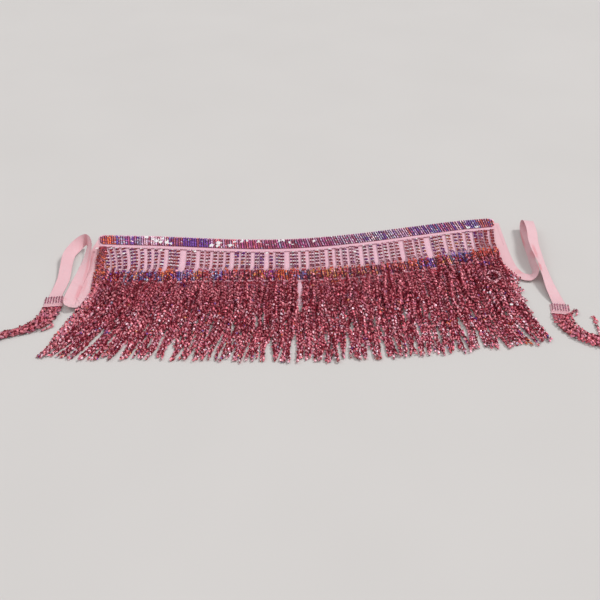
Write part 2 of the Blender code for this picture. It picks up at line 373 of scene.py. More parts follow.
def grosgrain(tree):
    across, along = uv_mm(tree)
    rib = (along * RIBS).sine()
    edge = (across - RIBBON_WIDE / 2).size()
    selvedge = 1 - edge.below(RIBBON_WIDE / 2 - SELVEDGE)
    mottle = speckle(tree, 35, 3)
    tone = mottle * 0.45 + selvedge * 0.25 + rib * 0.06
    plain = tone.mix(PINK_RIBBON, RIBBON_SHADE)
    # Where the ribbon folds, the pink is painted salmon: painted shade.
    return {"Base Color": carried(tree, "doubled", out=2).mix(plain, RIBBON_FOLD_SHADE),
            "Roughness": mottle * 0.25 + 0.42, "Normal": bump(tree, rib + selvedge * 0.6, 0.3, 0.00025)}


NAP = {"Sheen Weight": 0.4, "Sheen Roughness": 0.5, "Specular IOR Level": 0.35, "Subsurface Weight": 0.1,
       "Subsurface Radius": (1, 0.5, 0.5), "Subsurface Scale": 0.004}
cloth_finish = new_material("pink_woven_cloth", NAP, woven)
ribbon_finish = new_material("pink_grosgrain_ribbon", NAP, grosgrain)
print("cloth finishes:", cloth_finish.name, ribbon_finish.name)

# %% [markdown]
# Under the trim's sequins lies a wine-coloured backing tape, and the sewing is done with a pink twist thread.
# Both are drawn with slanting waves, as twisted yarn looks. The backing's dark wine is also painted shade in
# the gaps between the trim's sequins. The threads inside the strands are wine, and too fine for more than a
# fleck; their tubes are drawn thicker, and their dark wine is also painted shade in the gaps between the
# strands' sequins.

# %% Backing and thread finishes
# The backing's dark wine is its own colour and also painted shade in the gaps between the trim's sequins.
def backing(tree):
    across, along = uv_mm(tree)
    twill = ((across + along) * TWILL).sine()
    mottle = speckle(tree, 90)
    return {"Base Color": (mottle * 0.6 + twill * 0.2).mix(colour(168, 92, 114), colour(110, 46, 70)),
            "Roughness": mottle * 0.2 + 0.6, "Normal": bump(tree, twill, 0.4, 0.0003)}


def twisted_thread(tree):
    place = tree.node("ShaderNodeTexCoord", out=3)
    parts = tree.node("ShaderNodeSeparateXYZ", {}, {0: place})
    slant = (parts * 9000).sine()
    mottle = speckle(tree, 200)
    return {"Base Color": (mottle * 0.8).mix(colour(240, 196, 204), colour(205, 140, 154)),
            "Roughness": mottle * 0.2 + 0.5, "Normal": bump(tree, slant, 0.3, 0.0001)}


# The threads' dark wine is their own colour, and their tubes also fill the gaps between the strands' sequins
# as painted shade.
def wine_thread(tree):
    mottle = speckle(tree, 260)
    return {"Base Color": (mottle * 1.2).mix(colour(138, 40, 56), colour(92, 20, 34)),
            "Roughness": mottle * 0.2 + 0.6, "Normal": bump(tree, mottle, 0.4, 0.0003)}


backing_and_gap_shade_finish = new_material("wine_backing", {"Sheen Weight": 0.1}, backing)
thread_finish = new_material("pink_thread", {"Sheen Weight": 0.2}, twisted_thread)
core_thread_and_gap_shade_finish = new_material("wine_thread", {"Specular IOR Level": 0.1}, wine_thread)
print("backing and thread finishes ready")

# %% [markdown]
# ## Finishing a piece
# Every piece ends the same way: its mesh, already moved from the maker's millimetres into the frame, takes
# its finishes, rides on the belt's one body, and hides the solids it stands for. The object itself stays at
# the origin, unturned.

# %% Piece helper
def to_frame(point):
    return (Vector(point) - CENTRE) * MM


def as_mesh(name, bm):
    """The mesh of a shape that was built with bmesh."""
    mesh = bpy.data.meshes.new(name)
    bm.to_mesh(mesh)
    bm.free()
    return mesh


def add_piece(name, mesh, nodes=(), finishes=()):
    """Names a mesh that is already in the frame as a piece of the belt."""
    for finish in finishes:
        mesh.materials.append(finish)
    piece = show(name, mesh)
    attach(piece, "root")
    if nodes:
        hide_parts(*nodes)
    mesh.calc_loop_triangles()
    print(name, "has", len(mesh.loop_triangles), "triangles")
    return piece


# %% [markdown]
# ## Cloth as a bent grid
# Cut cloth is a flat sheet with two directions, across and along. So each sheet starts
# as a grid, keeps those two directions as its surface coordinates, is carried to its
# place by a function of them, and gets its thickness from Solidify.

# %% Sheet helper
def cloth_sheet(name, cells, size, place_at, thickness, finish, nodes=(), doubled=None):
    """A sheet of cells = (across, along), size in mm, with place_at(u, v) for u, v in 0..1.

    doubled gives the number, 0 to 1, of painted fold shade that the mesh carries where the cloth folds, lies
    double or turns over.
    """
    bm = bmesh.new()
    bmesh.ops.create_grid(bm, x_segments=cells[0], y_segments=cells[1], size=0.5)
    uv_map = bm.loops.layers.uv.new("cut")
    for face in bm.faces:
        for loop in face.loops:
            u, v = loop.vert.co.x + 0.5, loop.vert.co.y + 0.5
            loop[uv_map].uv = (u * size[0], v * size[1])
    if doubled:
        fold_shade_layer = bm.verts.layers.float.new("doubled")
        for vert in bm.verts:
            vert[fold_shade_layer] = doubled(place_at(vert.co.x + 0.5, vert.co.y + 0.5))
    for vert in bm.verts:
        vert.co = to_frame(place_at(vert.co.x + 0.5, vert.co.y + 0.5))
    bmesh.ops.solidify(bm, geom=bm.faces[:], thickness=thickness * MM)
    bmesh.ops.recalc_face_normals(bm, faces=bm.faces)
    mesh = as_mesh(name, bm)
    mesh.shade_smooth()
    mesh.set_sharp_from_angle(angle=math.radians(50))
    return add_piece(name, mesh, nodes, [finish])


print("sheet helper ready")

# %% [markdown]
# ## The base cloth
# One curved panel of plain pink cloth carries everything. It shows along the waist
# edge, between the upper strands, in the slit where both fringes part at the middle,
# and at the two ends. Its hem is turned twice, so the edge stands a little thicker,
# and the cloth between the rows of sewing ripples softly.

# %% Base cloth
HEM = 6
CLOTH_THIN = 0.7
HEM_RISE = 0.5
CLOTH_SHOWS = 5.5

# Soft ripples of the cloth: middle (x, y), half length along x, half width along y, height.
RIPPLES = (
    (-330, 168, 70, 9, 0.7), (-182, 150, 52, 7, 0.5), (-40, 160, 80, 10, 0.8), (88, 166, 44, 8, 0.6),
    (214, 196, 66, 9, 0.7), (352, 226, 48, 8, 0.5), (-250, 30, 90, 14, 0.9), (0, 38, 9, 22, 4.6),
    (0, -6, 8, 10, 3), (170, 48, 70, 12, 0.9),
)


def ripple(x, y):
    """Height of the soft ripples at a place on the cloth."""
    rise = 0
    for middle_x, middle_y, long, wide, height in RIPPLES:
        away = ((x - middle_x) / long) ** 2 + ((y - middle_y) / wide) ** 2
        rise += height * math.exp(-away)
    return rise


def base_place(u, v):
    """A place on the panel, with the grid drawn closer near its ends, where the corners are."""
    x = BASE_LEFT + (BASE_RIGHT - BASE_LEFT) * (1 - math.cos(math.pi * u)) / 2
    from_end = min(x - BASE_LEFT, BASE_RIGHT - x)
    top = trim_top(x) + CLOTH_SHOWS
    bottom = trim_top(x, low=True) - BASE_BELOW + rounding(from_end, BASE_CORNER)
    y = bottom + (top - bottom) * v
    edge = min(y - bottom, top - y, from_end)
    hem = HEM_RISE * (1 - soft_step(HEM - 1.5, HEM, edge))
    free = soft_step(HEM, HEM * 3, edge)
    return x, y, CLOTH_THIN + hem + ripple(x, y) * free


base_cloth = cloth_sheet("base_cloth_panel", (200, 60), (841, 249), base_place, CLOTH_THIN,
                         cloth_finish, ["base_cloth"])
print("base cloth top edge at", round(trim_top(0), 1), "mm")

# %% [markdown]
# ## The fringes' tapes
# Each fringe is bought ready-made, knotted along a narrow pink tape that is sewn down under its trim. The
# upper tape shows as a clean pink line below the waist band, the lower one only in broken glimpses between
# the strands that cross it. Under each trim lies the wine backing that its sequins were stitched to; its dark
# wine is also painted shade between the sequins.

# %% Tapes and backings
CORNER = 15


def corner_cut(at, low):
    """How much a trim's rounded corner takes off its height at a place along the belt."""
    first, here, last = (trim_point(place, 0, low)[0] for place in (0, at, 1))
    return rounding(min(here - first, last - here), CORNER)


def band_piece(name, low, top, bottom, height, thickness, finish, rounded=0, longer=0):
    """A band that follows a trim, from one drop to another, with a slight wave in it."""
    def place_at(u, v):
        cut = rounded * corner_cut(u, low)
        x, y = trim_point(u, bottom - cut + (top - bottom + 2 * cut) * v, low)
        x += longer * (u - 0.5) * 2
        lift = 0.25 * math.sin(u * 61) * math.sin(u * 23 + 1)
        return x, y, height + abs(lift)
    return cloth_sheet(name, (240, 6), (BELT_LONG, bottom - top), place_at, thickness, finish)


FLOOR = CLOTH + SEAM
TAPE_THIN = 0.8
TRIM_ENDS = TRIM_DROP - 0.6
upper_tape = band_piece("upper_tape", False, TRIM_DROP, TRIM_DROP + TAPE_DROP, FLOOR + 1.6, TAPE_THIN,
                        cloth_finish)
lower_tape = band_piece("lower_tape", True, TRIM_DROP, TRIM_DROP + LOWER_TAPE_DROP, FLOOR + 2.6, TAPE_THIN,
                        cloth_finish)
upper_backing = band_piece("upper_trim_backing", False, 0, TRIM_ENDS, FLOOR + 1, TAPE_THIN,
                           backing_and_gap_shade_finish, rounded=0.8, longer=1)
lower_backing = band_piece("lower_trim_backing", True, 1.2, TRIM_ENDS, FLOOR + 1, TAPE_THIN,
                           backing_and_gap_shade_finish)
waist_facing = band_piece("waist_facing", False, -CLOTH_SHOWS, TRIM_DROP + 3, FLOOR, CLOTH_THIN,
                          cloth_finish, rounded=0.75, longer=3)

# %% [markdown]
# ## One sequin, many places
# A cupped sequin is a shallow cone: its film is drawn down towards the thread hole. A
# six-sided rim and two tips make it from twelve triangles, and its front and its back
# wear different finishes. Modelling fifty thousand of them by hand is out of the
# question, so Geometry Nodes puts the one sequin at every point of a point cloud. Each
# point says how its sequin is turned, how large it is and what colour it has.

# %% Sequin and stitch shapes
def small_shape(name, build, finishes):
    """A hidden little object that is copied to many places."""
    bm = bmesh.new()
    build(bm)
    mesh = as_mesh(name, bm)
    for finish in finishes:
        mesh.materials.append(finish)
    return bpy.data.objects.new(name, mesh)


def cupped_disc(bm):
    """A closed six-sided cup, 1 across: front tip proud of the back tip, rim at zero."""
    for tip_height, finish in ((0.08, 0), (0.02, 1)):
        fan = bmesh.ops.create_circle(bm, cap_ends=True, cap_tris=True, segments=6, radius=0.5)["verts"]
        for vert in fan:
            if vert.co.length < 0.1:
                vert.co.z = tip_height
            for face in vert.link_faces:
                face.material_index = finish
    bmesh.ops.remove_doubles(bm, verts=bm.verts, dist=0.001)
    bmesh.ops.recalc_face_normals(bm, faces=bm.faces)
    print("a sequin has", len(bm.faces), "faces and", len(bm.verts), "corners")


def stitch_bar(bm):
    """A short rounded stitch, 1 long and lying along X."""
    bmesh.ops.create_cone(bm, cap_ends=True, segments=5, radius1=0.5, radius2=0.5, depth=1)
    bmesh.ops.rotate(bm, cent=(0, 0, 0), matrix=Matrix.Rotation(math.pi / 2, 3, "Y"), verts=bm.verts)
    bmesh.ops.scale(bm, vec=(1, 0.3, 0.3), verts=bm.verts)
    ends = [face for face in bm.faces if len(face.verts) == 5]
    bmesh.ops.inset_region(bm, faces=ends, thickness=0.06, depth=0.05)


sequin_shape = small_shape("sequin_shape", cupped_disc, [face_finish, back_finish])
stitch_shape = small_shape("stitch_shape", stitch_bar, [thread_finish])

# %% [markdown]
# The node group below is the whole trick: points, an instance on each, and Realize
# Instances, so that what leaves it is an ordinary mesh.

# %% Scatter
def scatter_group(shape):
    """A Geometry Nodes group that copies a shape to every point of its input."""
    group = bpy.data.node_groups.new("scatter_" + shape.name, "GeometryNodeTree")
    for way in ("INPUT", "OUTPUT"):
        group.interface.new_socket("Geometry", in_out=way, socket_type="NodeSocketGeometry")
    link = group.links.new
    entry, leave, source, copies, real = (group.nodes.new(kind) for kind in (
        "NodeGroupInput", "NodeGroupOutput", "GeometryNodeObjectInfo",
        "GeometryNodeInstanceOnPoints", "GeometryNodeRealizeInstances"))
    source.inputs["Object"].default_value = shape
    link(entry.outputs[0], copies.inputs["Points"])
    link(source.outputs["Geometry"], copies.inputs["Instance"])
    for socket, kind, name in (("Rotation", "QUATERNION", "turn"), ("Scale", "FLOAT_VECTOR", "size")):
        reader = group.nodes.new("GeometryNodeInputNamedAttribute")
        reader.data_type = kind
        reader.inputs["Name"].default_value = name
        link(reader.outputs["Attribute"], copies.inputs[socket])
    link(copies.outputs[0], real.inputs[0])
    link(real.outputs[0], leave.inputs[0])
    return group


def set_attribute(mesh, name, kind, field, values):
    flat = [number for value in values for number in value]
    mesh.attributes.new(name, kind, "POINT").data.foreach_set(field, flat)


def sequin(place, turn, size, tint):
    """One sequin for scatter(): where it is, how it's turned, how wide it is and its colour."""
    return place, turn, Vector((1, 1, 1)) * size, tint


def scatter(name, shape, spots, nodes=()):
    """Copies a shape to spots = [(place in mm, turn, size in mm, colour), ...] as one mesh."""
    cloud = bpy.data.meshes.new(name + "_points")
    cloud.from_pydata([to_frame(spot[0]) for spot in spots], [], [])
    set_attribute(cloud, "turn", "QUATERNION", "value", [turn for _, turn, _, _ in spots])
    set_attribute(cloud, "size", "FLOAT_VECTOR", "vector", [size * MM for _, _, size, _ in spots])
    set_attribute(cloud, "tint", "FLOAT_COLOR", "color", [tint for _, _, _, tint in spots])
    points = show(name + "_points", cloud)
    modifier = points.modifiers.new("scatter", "NODES")
    modifier.node_group = scatter_group(shape)
    evaluated = points.evaluated_get(bpy.context.evaluated_depsgraph_get())
    mesh = bpy.data.meshes.new_from_object(evaluated)
    mesh.name = name
    bpy.data.objects.remove(points)
    print(name, "has", len(spots), "copies of", shape.name)
    return add_piece(name, mesh, nodes)


# %% [markdown]
# Each copy's turn comes from the way its thread runs. A frame of three directions
# (along the thread, sideways, and out of the sequin's face) becomes a quaternion.

# %% Turning a sequin
UP = Vector((0, 0, 1))
DOWN_THE_BELT = Vector((0, -1, 0))


def facing(along, roll, lean, heading=0):
    """The turn of a sequin on a thread that runs along a direction.

    roll turns its face round the thread, from straight up; lean tips the face along
    the thread, as overlapping scales do; heading spins it in its own plane.
    """
    along = along.normalized()
    side = along.cross(UP).normalized()
    top = side.cross(along)
    out = top * math.cos(roll) + side * math.sin(roll)
    face = out * math.cos(lean) + along * math.sin(lean)
    first = along * math.cos(lean) - out * math.sin(lean)
    second = face.cross(first)
    turned = first * math.cos(heading) + second * math.sin(heading)
    return Matrix((turned, face.cross(turned), face)).transposed().to_quaternion()


def rest_height(turn, across):
    """Least height of the middle of a disc so that its rim clears what it lies on."""
    face = turn @ UP
    return across / 2 * math.sqrt(max(0, 1 - face.z * face.z)) + 0.2


on_edge = facing(DOWN_THE_BELT, math.pi / 2, 0)
print("on its edge, a 5 mm sequin rests at", round(rest_height(on_edge, 5), 1), "mm")

# %% [markdown]
# ## The colours of the sequins
# The film is a rose wine, but it is iridescent: along the waist band whole stretches flash rust, violet or
# steel blue, with white spots that are painted highlights, and the lower band glows gold and orange with blue
# flecks. A short table says which colour rules where along a band, and each sequin takes the colour of a
# place near its own, so the zones fray into each other.

# %% Sequin colours
WINE = colour(198, 90, 106)
ROSE = colour(218, 124, 136)
DARK_ROSE = colour(160, 46, 58)
PALE_ROSE = colour(238, 178, 190)
MAUVE = colour(188, 102, 126)
LILAC = colour(196, 150, 186)
RUST = colour(184, 66, 48)
GOLD = colour(212, 134, 80)
ORANGE = colour(214, 98, 48)
VIOLET = colour(98, 50, 150)
MAGENTA = colour(176, 74, 130)
BLUE = colour(96, 100, 160)
STEEL = colour(150, 146, 176)
MAROON = colour(156, 70, 96)
PINK = colour(236, 186, 198)
PALE_LILAC = colour(228, 196, 218)
PLUM = colour(88, 42, 96)
DARK_MAROON = colour(100, 40, 58)
WHITE = colour(255, 252, 252)

# Along the waist band, left to right: where a stretch starts (0 to 1), and its colours.
WAIST_ZONES = (
    (0, (RUST, RUST, MAROON, ORANGE)), (0.035, (STEEL, BLUE, VIOLET, MAROON)),
    (0.058, (VIOLET, MAGENTA, STEEL, VIOLET, PALE_LILAC)), (0.104, (MAROON, PALE_ROSE, LILAC)),
    (0.175, (MAROON, MAROON, WINE, VIOLET)), (0.208, (VIOLET, VIOLET, VIOLET, MAROON)),
    (0.278, (MAROON, LILAC, WINE)), (0.343, (MAROON, MAROON, MAGENTA, WINE)),
    (0.44, (STEEL, MAROON, MAGENTA, MAROON)), (0.5, (MAGENTA, MAROON, MAROON, LILAC)),
    (0.6, (STEEL, PALE_ROSE, MAGENTA, LILAC)), (0.65, (STEEL, LILAC, MAROON, STEEL, VIOLET)),
    (0.742, (STEEL, PALE_ROSE, RUST, LILAC)), (0.78, (VIOLET, VIOLET, LILAC, MAGENTA, BLUE)),
    (0.874, (MAROON, MAGENTA, VIOLET, PALE_ROSE)), (0.934, (VIOLET, BLUE, VIOLET)),
    (0.955, (RUST, MAROON, VIOLET, RUST)),
)
# Along the lower band.
HIP_ZONES = (
    (0, (RUST, MAROON, VIOLET, WINE)), (0.06, (GOLD, BLUE, MAROON, STEEL)),
    (0.13, (MAROON, VIOLET, MAROON)), (0.157, (ORANGE, GOLD, RUST, MAROON)),
    (0.19, (VIOLET, BLUE, LILAC, MAROON)), (0.225, (BLUE, GOLD, ORANGE, MAROON)),
    (0.247, (MAROON, DARK_MAROON, RUST, STEEL)), (0.29, (BLUE, VIOLET, STEEL, WINE)),
    (0.31, (ORANGE, RUST, MAROON)), (0.335, (MAROON, RUST, DARK_MAROON)), (0.4, (GOLD, ORANGE, MAROON)),
    (0.42, (MAGENTA, MAROON, VIOLET)), (0.442, (ORANGE, RUST, ORANGE, MAROON)),
    (0.48, (MAROON, STEEL, DARK_MAROON)), (0.53, (GOLD, GOLD, RUST, MAROON)),
    (0.6, (GOLD, RUST, MAROON, DARK_MAROON)), (0.69, (VIOLET, MAGENTA, MAROON)),
    (0.705, (MAROON, RUST, ORANGE, WINE)), (0.79, (BLUE, VIOLET, ORANGE, MAROON)),
    (0.823, (MAROON, ORANGE, GOLD, RUST)), (0.871, (BLUE, VIOLET, STEEL, MAROON)),
    (0.924, (RUST, RUST, WINE, ORANGE)),
)
# Along the bare cloth between the trims, the dark dots of the upper fringe.
BARE_ZONES = (
    (0, (VIOLET, RUST, MAROON, PLUM)), (0.09, (VIOLET, MAROON, DARK_MAROON, RUST)),
    (0.2, (MAROON, DARK_MAROON, WINE, RUST)), (0.27, (MAROON, RUST, GOLD, DARK_MAROON)),
    (0.33, (PLUM, MAROON, DARK_MAROON, BLUE)), (0.37, (VIOLET, PLUM, RUST, DARK_MAROON)),
    (0.43, (PLUM, VIOLET, MAROON, DARK_MAROON)), (0.49, (MAROON, RUST, DARK_MAROON, PLUM)),
    (0.59, (PLUM, VIOLET, MAROON, DARK_MAROON)), (0.7, (MAROON, WINE, RUST, DARK_MAROON)),
    (0.8, (VIOLET, RUST, DARK_MAROON, GOLD)), (0.94, (RUST, DARK_MAROON, MAROON, RUST)),
)
STRAND_FRONTS = (WINE, WINE, ROSE, ROSE, MAUVE)
STRAND_SHADED_BACKS = (WINE, DARK_ROSE, DARK_ROSE, DARK_MAROON)
BARE_FRONTS = (PINK, PALE_ROSE, PALE_ROSE, PINK, WHITE)
END_FRONTS = (RUST, DARK_ROSE, MAROON, PALE_ROSE, WINE)

# Patches where a handful of sequins flash together: x, y, radius, colour. The dark maroon patch at (393, 63),
# inside the ring of string, is painted shade.
FLASHES = (
    (-417, 161, 15, RUST), (-396, 103, 11, GOLD), (-383, 90, 9, VIOLET), (-360, 122, 12, VIOLET),
    (-356, 101, 12, RUST), (-327, 59, 11, BLUE), (-321, 98, 14, BLUE), (-277, 87, 18, ORANGE),
    (-289, 63, 12, BLUE), (-254, 69, 13, VIOLET), (-236, 118, 12, VIOLET), (-152, 104, 12, BLUE),
    (-132, 152, 18, VIOLET), (-122, 124, 9, GOLD), (-85, 74, 12, GOLD), (-66, 76, 13, MAGENTA),
    (-72, 136, 15, VIOLET), (-47, 69, 13, ORANGE), (-36, 79, 13, ORANGE), (5, 71, 12, BLUE),
    (24, 84, 13, GOLD), (71, 48, 7, ORANGE), (312, 150, 17, VIOLET), (340, 152, 18, BLUE),
    (368, 148, 20, RUST), (399, 152, 16, RUST), (389, 112, 12, VIOLET), (394, 222, 14, VIOLET),
    (-236, 40, 7, VIOLET), (-368, -104, 9, VIOLET), (-376, -108, 5, ORANGE), (-301, -107, 5, ORANGE),
    (420, -101, 10, VIOLET), (403, -78, 7, ORANGE), (427, -127, 9, ORANGE), (439, -124, 7, VIOLET),
    (468, -113, 8, VIOLET), (333, -62, 9, VIOLET), (393, 63, 10, DARK_MAROON),
)
# Spots on the waist band where sequins are painted white, a painted highlight for sequins that catch the
# light: x, y, radius.
PAINTED_GLINTS = (
    (-336, 214, 7), (-323, 205, 6), (-313, 199, 8), (-303, 196, 5), (-300, 208, 5), (-290, 193, 7),
    (-281, 190, 5), (-193, 182, 6), (-176, 190, 8), (-177, 180, 6), (-151, 181, 7), (-143, 196, 5),
    (-126, 199, 5), (-116, 200, 4), (-90, 196, 5), (-46, 200, 5), (-36, 201, 5), (-22, 192, 4),
    (-16, 186, 4), (30, 198, 4), (376, 248, 8), (396, 252, 6), (366, 241, 4),
)
print(len(WAIST_ZONES) + len(HIP_ZONES), "colour zones and", len(FLASHES), "flash patches")

# %% [markdown]
# A sequin draws its colour from its zone, and turns a little lighter or darker. Where it lies in a patch, it
# may take that one's colour instead, and in a spot of light on the waist band it is painted white, a painted
# highlight.

# %% Picking a colour
def shaded(tint, shade):
    """A colour made lighter or darker."""
    return tuple(min(part * shade, 1) for part in tint[:3]) + (1,)


def jitter(tint, rng, spread=0.18, bright=1):
    """A colour made a little lighter or darker by chance."""
    return shaded(tint, bright * (1 + rng.uniform(-spread, spread)))


def zone_colour(zones, at, rng, pick=None):
    """A colour for a place along a band, from the stretch it lies in or one close by."""
    near = at + rng.gauss(0, 0.008)
    colours = [row[1] for row in zones if row[0] <= max(near, 0)][-1]
    return rng.choice(colours) if pick is None else colours[int(pick * len(colours))]


def flash_colour(place, tint, rng):
    """The colour of a flash patch where a sequin lies in one, or else its own."""
    for x, y, radius, flash in FLASHES:
        away = math.hypot(place.x - x, (place.y - y) * 1.2) / radius
        if away < 1.4 and rng.random() < 0.6 * (1 - soft_step(0.5, 1.4, away)):
            return flash
    return tint


# Painted highlights: whether a place lies in a spot where the waist band's sequins are painted white.
def in_painted_glint(place):
    ragged = 0.62 + 0.5 * noise.noise(Vector((place.x * 0.3, place.y * 0.3, 5)))
    return any(math.hypot(place.x - x, (place.y - y) * 0.8) < radius * ragged for x, y, radius in PAINTED_GLINTS)


print("sequins catch the light in", len(PAINTED_GLINTS), "spots")

# %% [markdown]
# ## The two trims
# A trim is sewn in upright columns: a string of overlapping sequins goes down, and the next one goes down
# beside it, five millimetres on. Each column stands up as a small ridge of sequins tipped towards the light,
# with a furrow of sequins tipped away beside it. The ridge sequins are also painted lighter and the furrow
# sequins darker, as painted light and shade. Towards the middle of the belt the columns lean, and towards the
# right their ridges turn from the light and the furrows' painted shade grows darker.
# The ends of the waist band are rounded off, so its outermost columns start lower and
# stop higher.

# %% Trim columns
COLUMNS = 172
SCALE_STEP = 2.6
SCALE_LEAN = 0.28
TRIM_SEQUIN = 4.1
RIDGE_ASIDE = 1.2
RIDGE_ROLL, FURROW_ROLL = -0.9, 0.95
RIDGE_HIGH, FURROW_HIGH = 2.7, 2.3
# Painted light and shade: ridge sequins and white glint sequins are painted lighter by the first, furrow
# sequins darker by the second.
TRIM_PAINTED_LIGHT = 1.38
FURROW_PAINTED_SHADE = 0.58
# The furrows' plum is part of their painted shade; the tassel heads use it as a sequin colour.
FURROW = colour(112, 58, 88)
# Shares of the belt: where ridges turn from the light, and where pale columns begin and end.
TURNS_AWAY, PALE_BEGINS, PALE_ENDS = (0.4, 0.95), (0.56, 0.64), (0.73, 0.79)
COLUMN_LEAN = ((0.02,), (0.04,), (0.06,), (0.16,), (0.26,), (0.24,), (0.2,), (0.06,))


def trim_columns(name, low, zones, node, seed, ruffle):
    """All the columns of one trim; ruffle says how untidy they are."""
    rng = random.Random(seed)
    spots = []
    furrow = DARK_MAROON if low else FURROW
    for i in range(COLUMNS):
        share = (i + 0.5) / COLUMNS
        at = even_at(share)
        lean = read_off(COLUMN_LEAN, 0, at) * (0.4 if low else 1)
        cut = corner_cut(at, low)
        steps = int((TRIM_DROP - 0.2 - cut * 1.7) / SCALE_STEP)
        shift = rng.gauss(0, 0.25)
        toward_right = soft_step(*TURNS_AWAY, share)
        # Three sequins in four take the column's first colour. Right of the middle some columns are pale.
        tints = [zone_colour(zones, share, rng)] * 3 + [zone_colour(zones, share, rng)]
        pale_share = soft_step(*PALE_BEGINS, share) * (1 - soft_step(*PALE_ENDS, share)) * (1 - low)
        if rng.random() < 0.4 * pale_share:
            tints = [rng.choice((PALE_ROSE, PINK, PALE_LILAC))] * 4 + tints[:1]
        for step in range(steps * 2):
            bright = step < steps
            drop = cut * 0.85 + 1.7 + (step % steps) * SCALE_STEP + rng.gauss(0, ruffle * 0.3)
            x, y = trim_point(at, drop, low)
            x += lean * (drop - TRIM_DROP / 2) + shift + rng.gauss(0, ruffle * 0.4)
            x += (share - 0.5) * 2 + (RIDGE_ASIDE if bright else -RIDGE_ASIDE)
            roll = 0.6 * toward_right + RIDGE_ROLL if bright else FURROW_ROLL
            roll += rng.gauss(0, 0.08 + ruffle * 0.2)
            turn = facing(Vector((lean, -1, 0)), roll, SCALE_LEAN + rng.gauss(0, 0.06 + ruffle * 0.15),
                          rng.uniform(0, math.tau))
            high = FLOOR + (RIDGE_HIGH if bright else FURROW_HIGH) + rng.uniform(-0.2, 0.2)
            place = Vector((x, y, high))
            tint = flash_colour(place, rng.choice(tints), rng)
            # Ridge sequins are painted lighter, and furrow sequins darker, darkest towards the right: painted
            # light and shade.
            size, shade = TRIM_SEQUIN - toward_right, TRIM_PAINTED_LIGHT
            if not bright:
                tint = rng.choice((tint, furrow, furrow, PLUM))
                size, shade = TRIM_SEQUIN, FURROW_PAINTED_SHADE - 0.12 * toward_right
            # A few ridge sequins take a fleck of another colour; the white ones are painted glints.
            elif rng.random() < 0.1 + 0.3 * pale_share:
                tint = rng.choice((PALE_LILAC, WHITE, MAROON, FURROW, STEEL))
            # In a spot of light a sequin is painted white, lifted and laid flat: a painted highlight.
            if not low and in_painted_glint(place):
                tint, size, shade = WHITE, TRIM_SEQUIN * 1.05, TRIM_PAINTED_LIGHT
                place.z += 0.5
                turn = facing(DOWN_THE_BELT, 0, 0.1)
            spots.append(sequin(place, turn, size, jitter(tint, rng, 0.2, shade)))
    return scatter(name, sequin_shape, spots, [node])


upper_trim = trim_columns("upper_trim_sequins", False, WAIST_ZONES, "upper_trim", seed=21, ruffle=0.4)
lower_trim = trim_columns("lower_trim_sequins", True, HIP_ZONES, "lower_trim", seed=22, ruffle=1)

# %% [markdown]
# ## The strands of a fringe
# Each strand is a loop of sequin string: two threads leave the tape side by side, run
# straight for a while, then twist round each other like a rope and meet at the tip.
# The string itself is twisted too, so its sequins show their bright fronts and their dark backs in turn, once
# every eleven millimetres; the backs' dark is partly their own colour and partly painted shade. Near the tape
# all strings start in step, which is why the dark dots between the two trims line up in rows.

# %% Strand routes
UPPER_STRANDS, LOWER_STRANDS = 60, 150
STRING_STEP = 2.65
STRAIGHT_SEQUIN = 4.3
STRING_SEQUIN = 4.8
STRAIGHT_STEP = 2.83
STRING_TURN = 4 * STRAIGHT_STEP
ROPE_TURN = 17.5
ROPE_WIDE = 3.3
ROPE_HIGH = 1.3
SLIT_AT = 0
SLIT_HALF = 6.4
SLITS = ((36, 34), (-16, 26))
TIP_JITTER = 6


def slit_push(x, y):
    """Sideways push that parts the fringe along the belt's middle, in two short slits."""
    side = x - SLIT_AT
    push = 0
    for middle, half in SLITS:
        push = max(push, 1 - ((y - middle) / half) ** 4)
    return math.copysign(SLIT_HALF * push * math.exp(-abs(side) / 12), side)


def strand_middle(root, shape, tip_y, share):
    """The route of a strand's middle: a straight line to the tip, bowed sideways."""
    bow = 4 * share * (1 - share)
    x = root[0] + shape["tip_shift"] * share + (shape["middle_shift"] - shape["tip_shift"] / 2) * bow
    return x, root[1] + (tip_y - root[1]) * share


def height_along(rows, y):
    """Height at a place down the strand, from rows of (y, height) in falling order of y."""
    if y >= rows[0][0]:
        return rows[0][1]
    for (high_y, start), (low_y, end) in zip(rows, rows[1:]):
        if y >= low_y:
            return start + (end - start) * soft_step(0, high_y - low_y, high_y - y)
    return rows[-1][1]


def upper_rows(x):
    """The upper fringe climbs over the lower trim and lies on the lower fringe."""
    trim = trim_top(x, low=True)
    foot = trim - BASE_BELOW
    return ((trim + 60, 4), (trim + 18, 3.8), (trim + 4, 9), (trim - 40, 9.2),
            (foot + 10, 9.6), (foot - 30, 8.6), (foot - 75, 7.6))


def lower_rows(x):
    """The lower fringe lies on the cloth, then on the table."""
    foot = trim_top(x, low=True) - BASE_BELOW
    return ((foot + 70, 4.8), (foot - 2, 4.8), (foot - 24, 3.2))


def clumps(count, sizes, rng):
    """Cuts a row of things into neighbouring clumps: each thing's clump middle."""
    middles = []
    while len(middles) < count:
        size = min(rng.choice(sizes), count - len(middles))
        middles += [len(middles) + (size - 1) / 2] * size
    return middles


print("the fringes have", UPPER_STRANDS, "and", LOWER_STRANDS, "strands of two strings")

# %% [markdown]
# A strand is laid sequin by sequin. The route is its middle line; each of its strings
# goes round that line, and every sequin takes its direction from its own string, which
# is what makes the slanting pattern of a twisted rope. Each string also has a pace of
# its own, so the dots of one drift out of step with its neighbour's.

# %% Laying a strand
LOOSENING = 16
TIP_LONG = 45
TIP_CLOSING = 5


def measured(route):
    """The running length at every point of a route."""
    lengths = [0]
    for start, end in zip(route, route[1:]):
        lengths.append(lengths[-1] + (end - start).length)
    return lengths


def point_on(route, lengths, distance):
    """Place and direction at a distance down a route."""
    row = min(max(bisect.bisect_right(lengths, distance) - 1, 0), len(route) - 2)
    way = route[row + 1] - route[row]
    part = (distance - lengths[row]) / max(lengths[row + 1] - lengths[row], 1e-6)
    return route[row] + way * part, way.normalized()


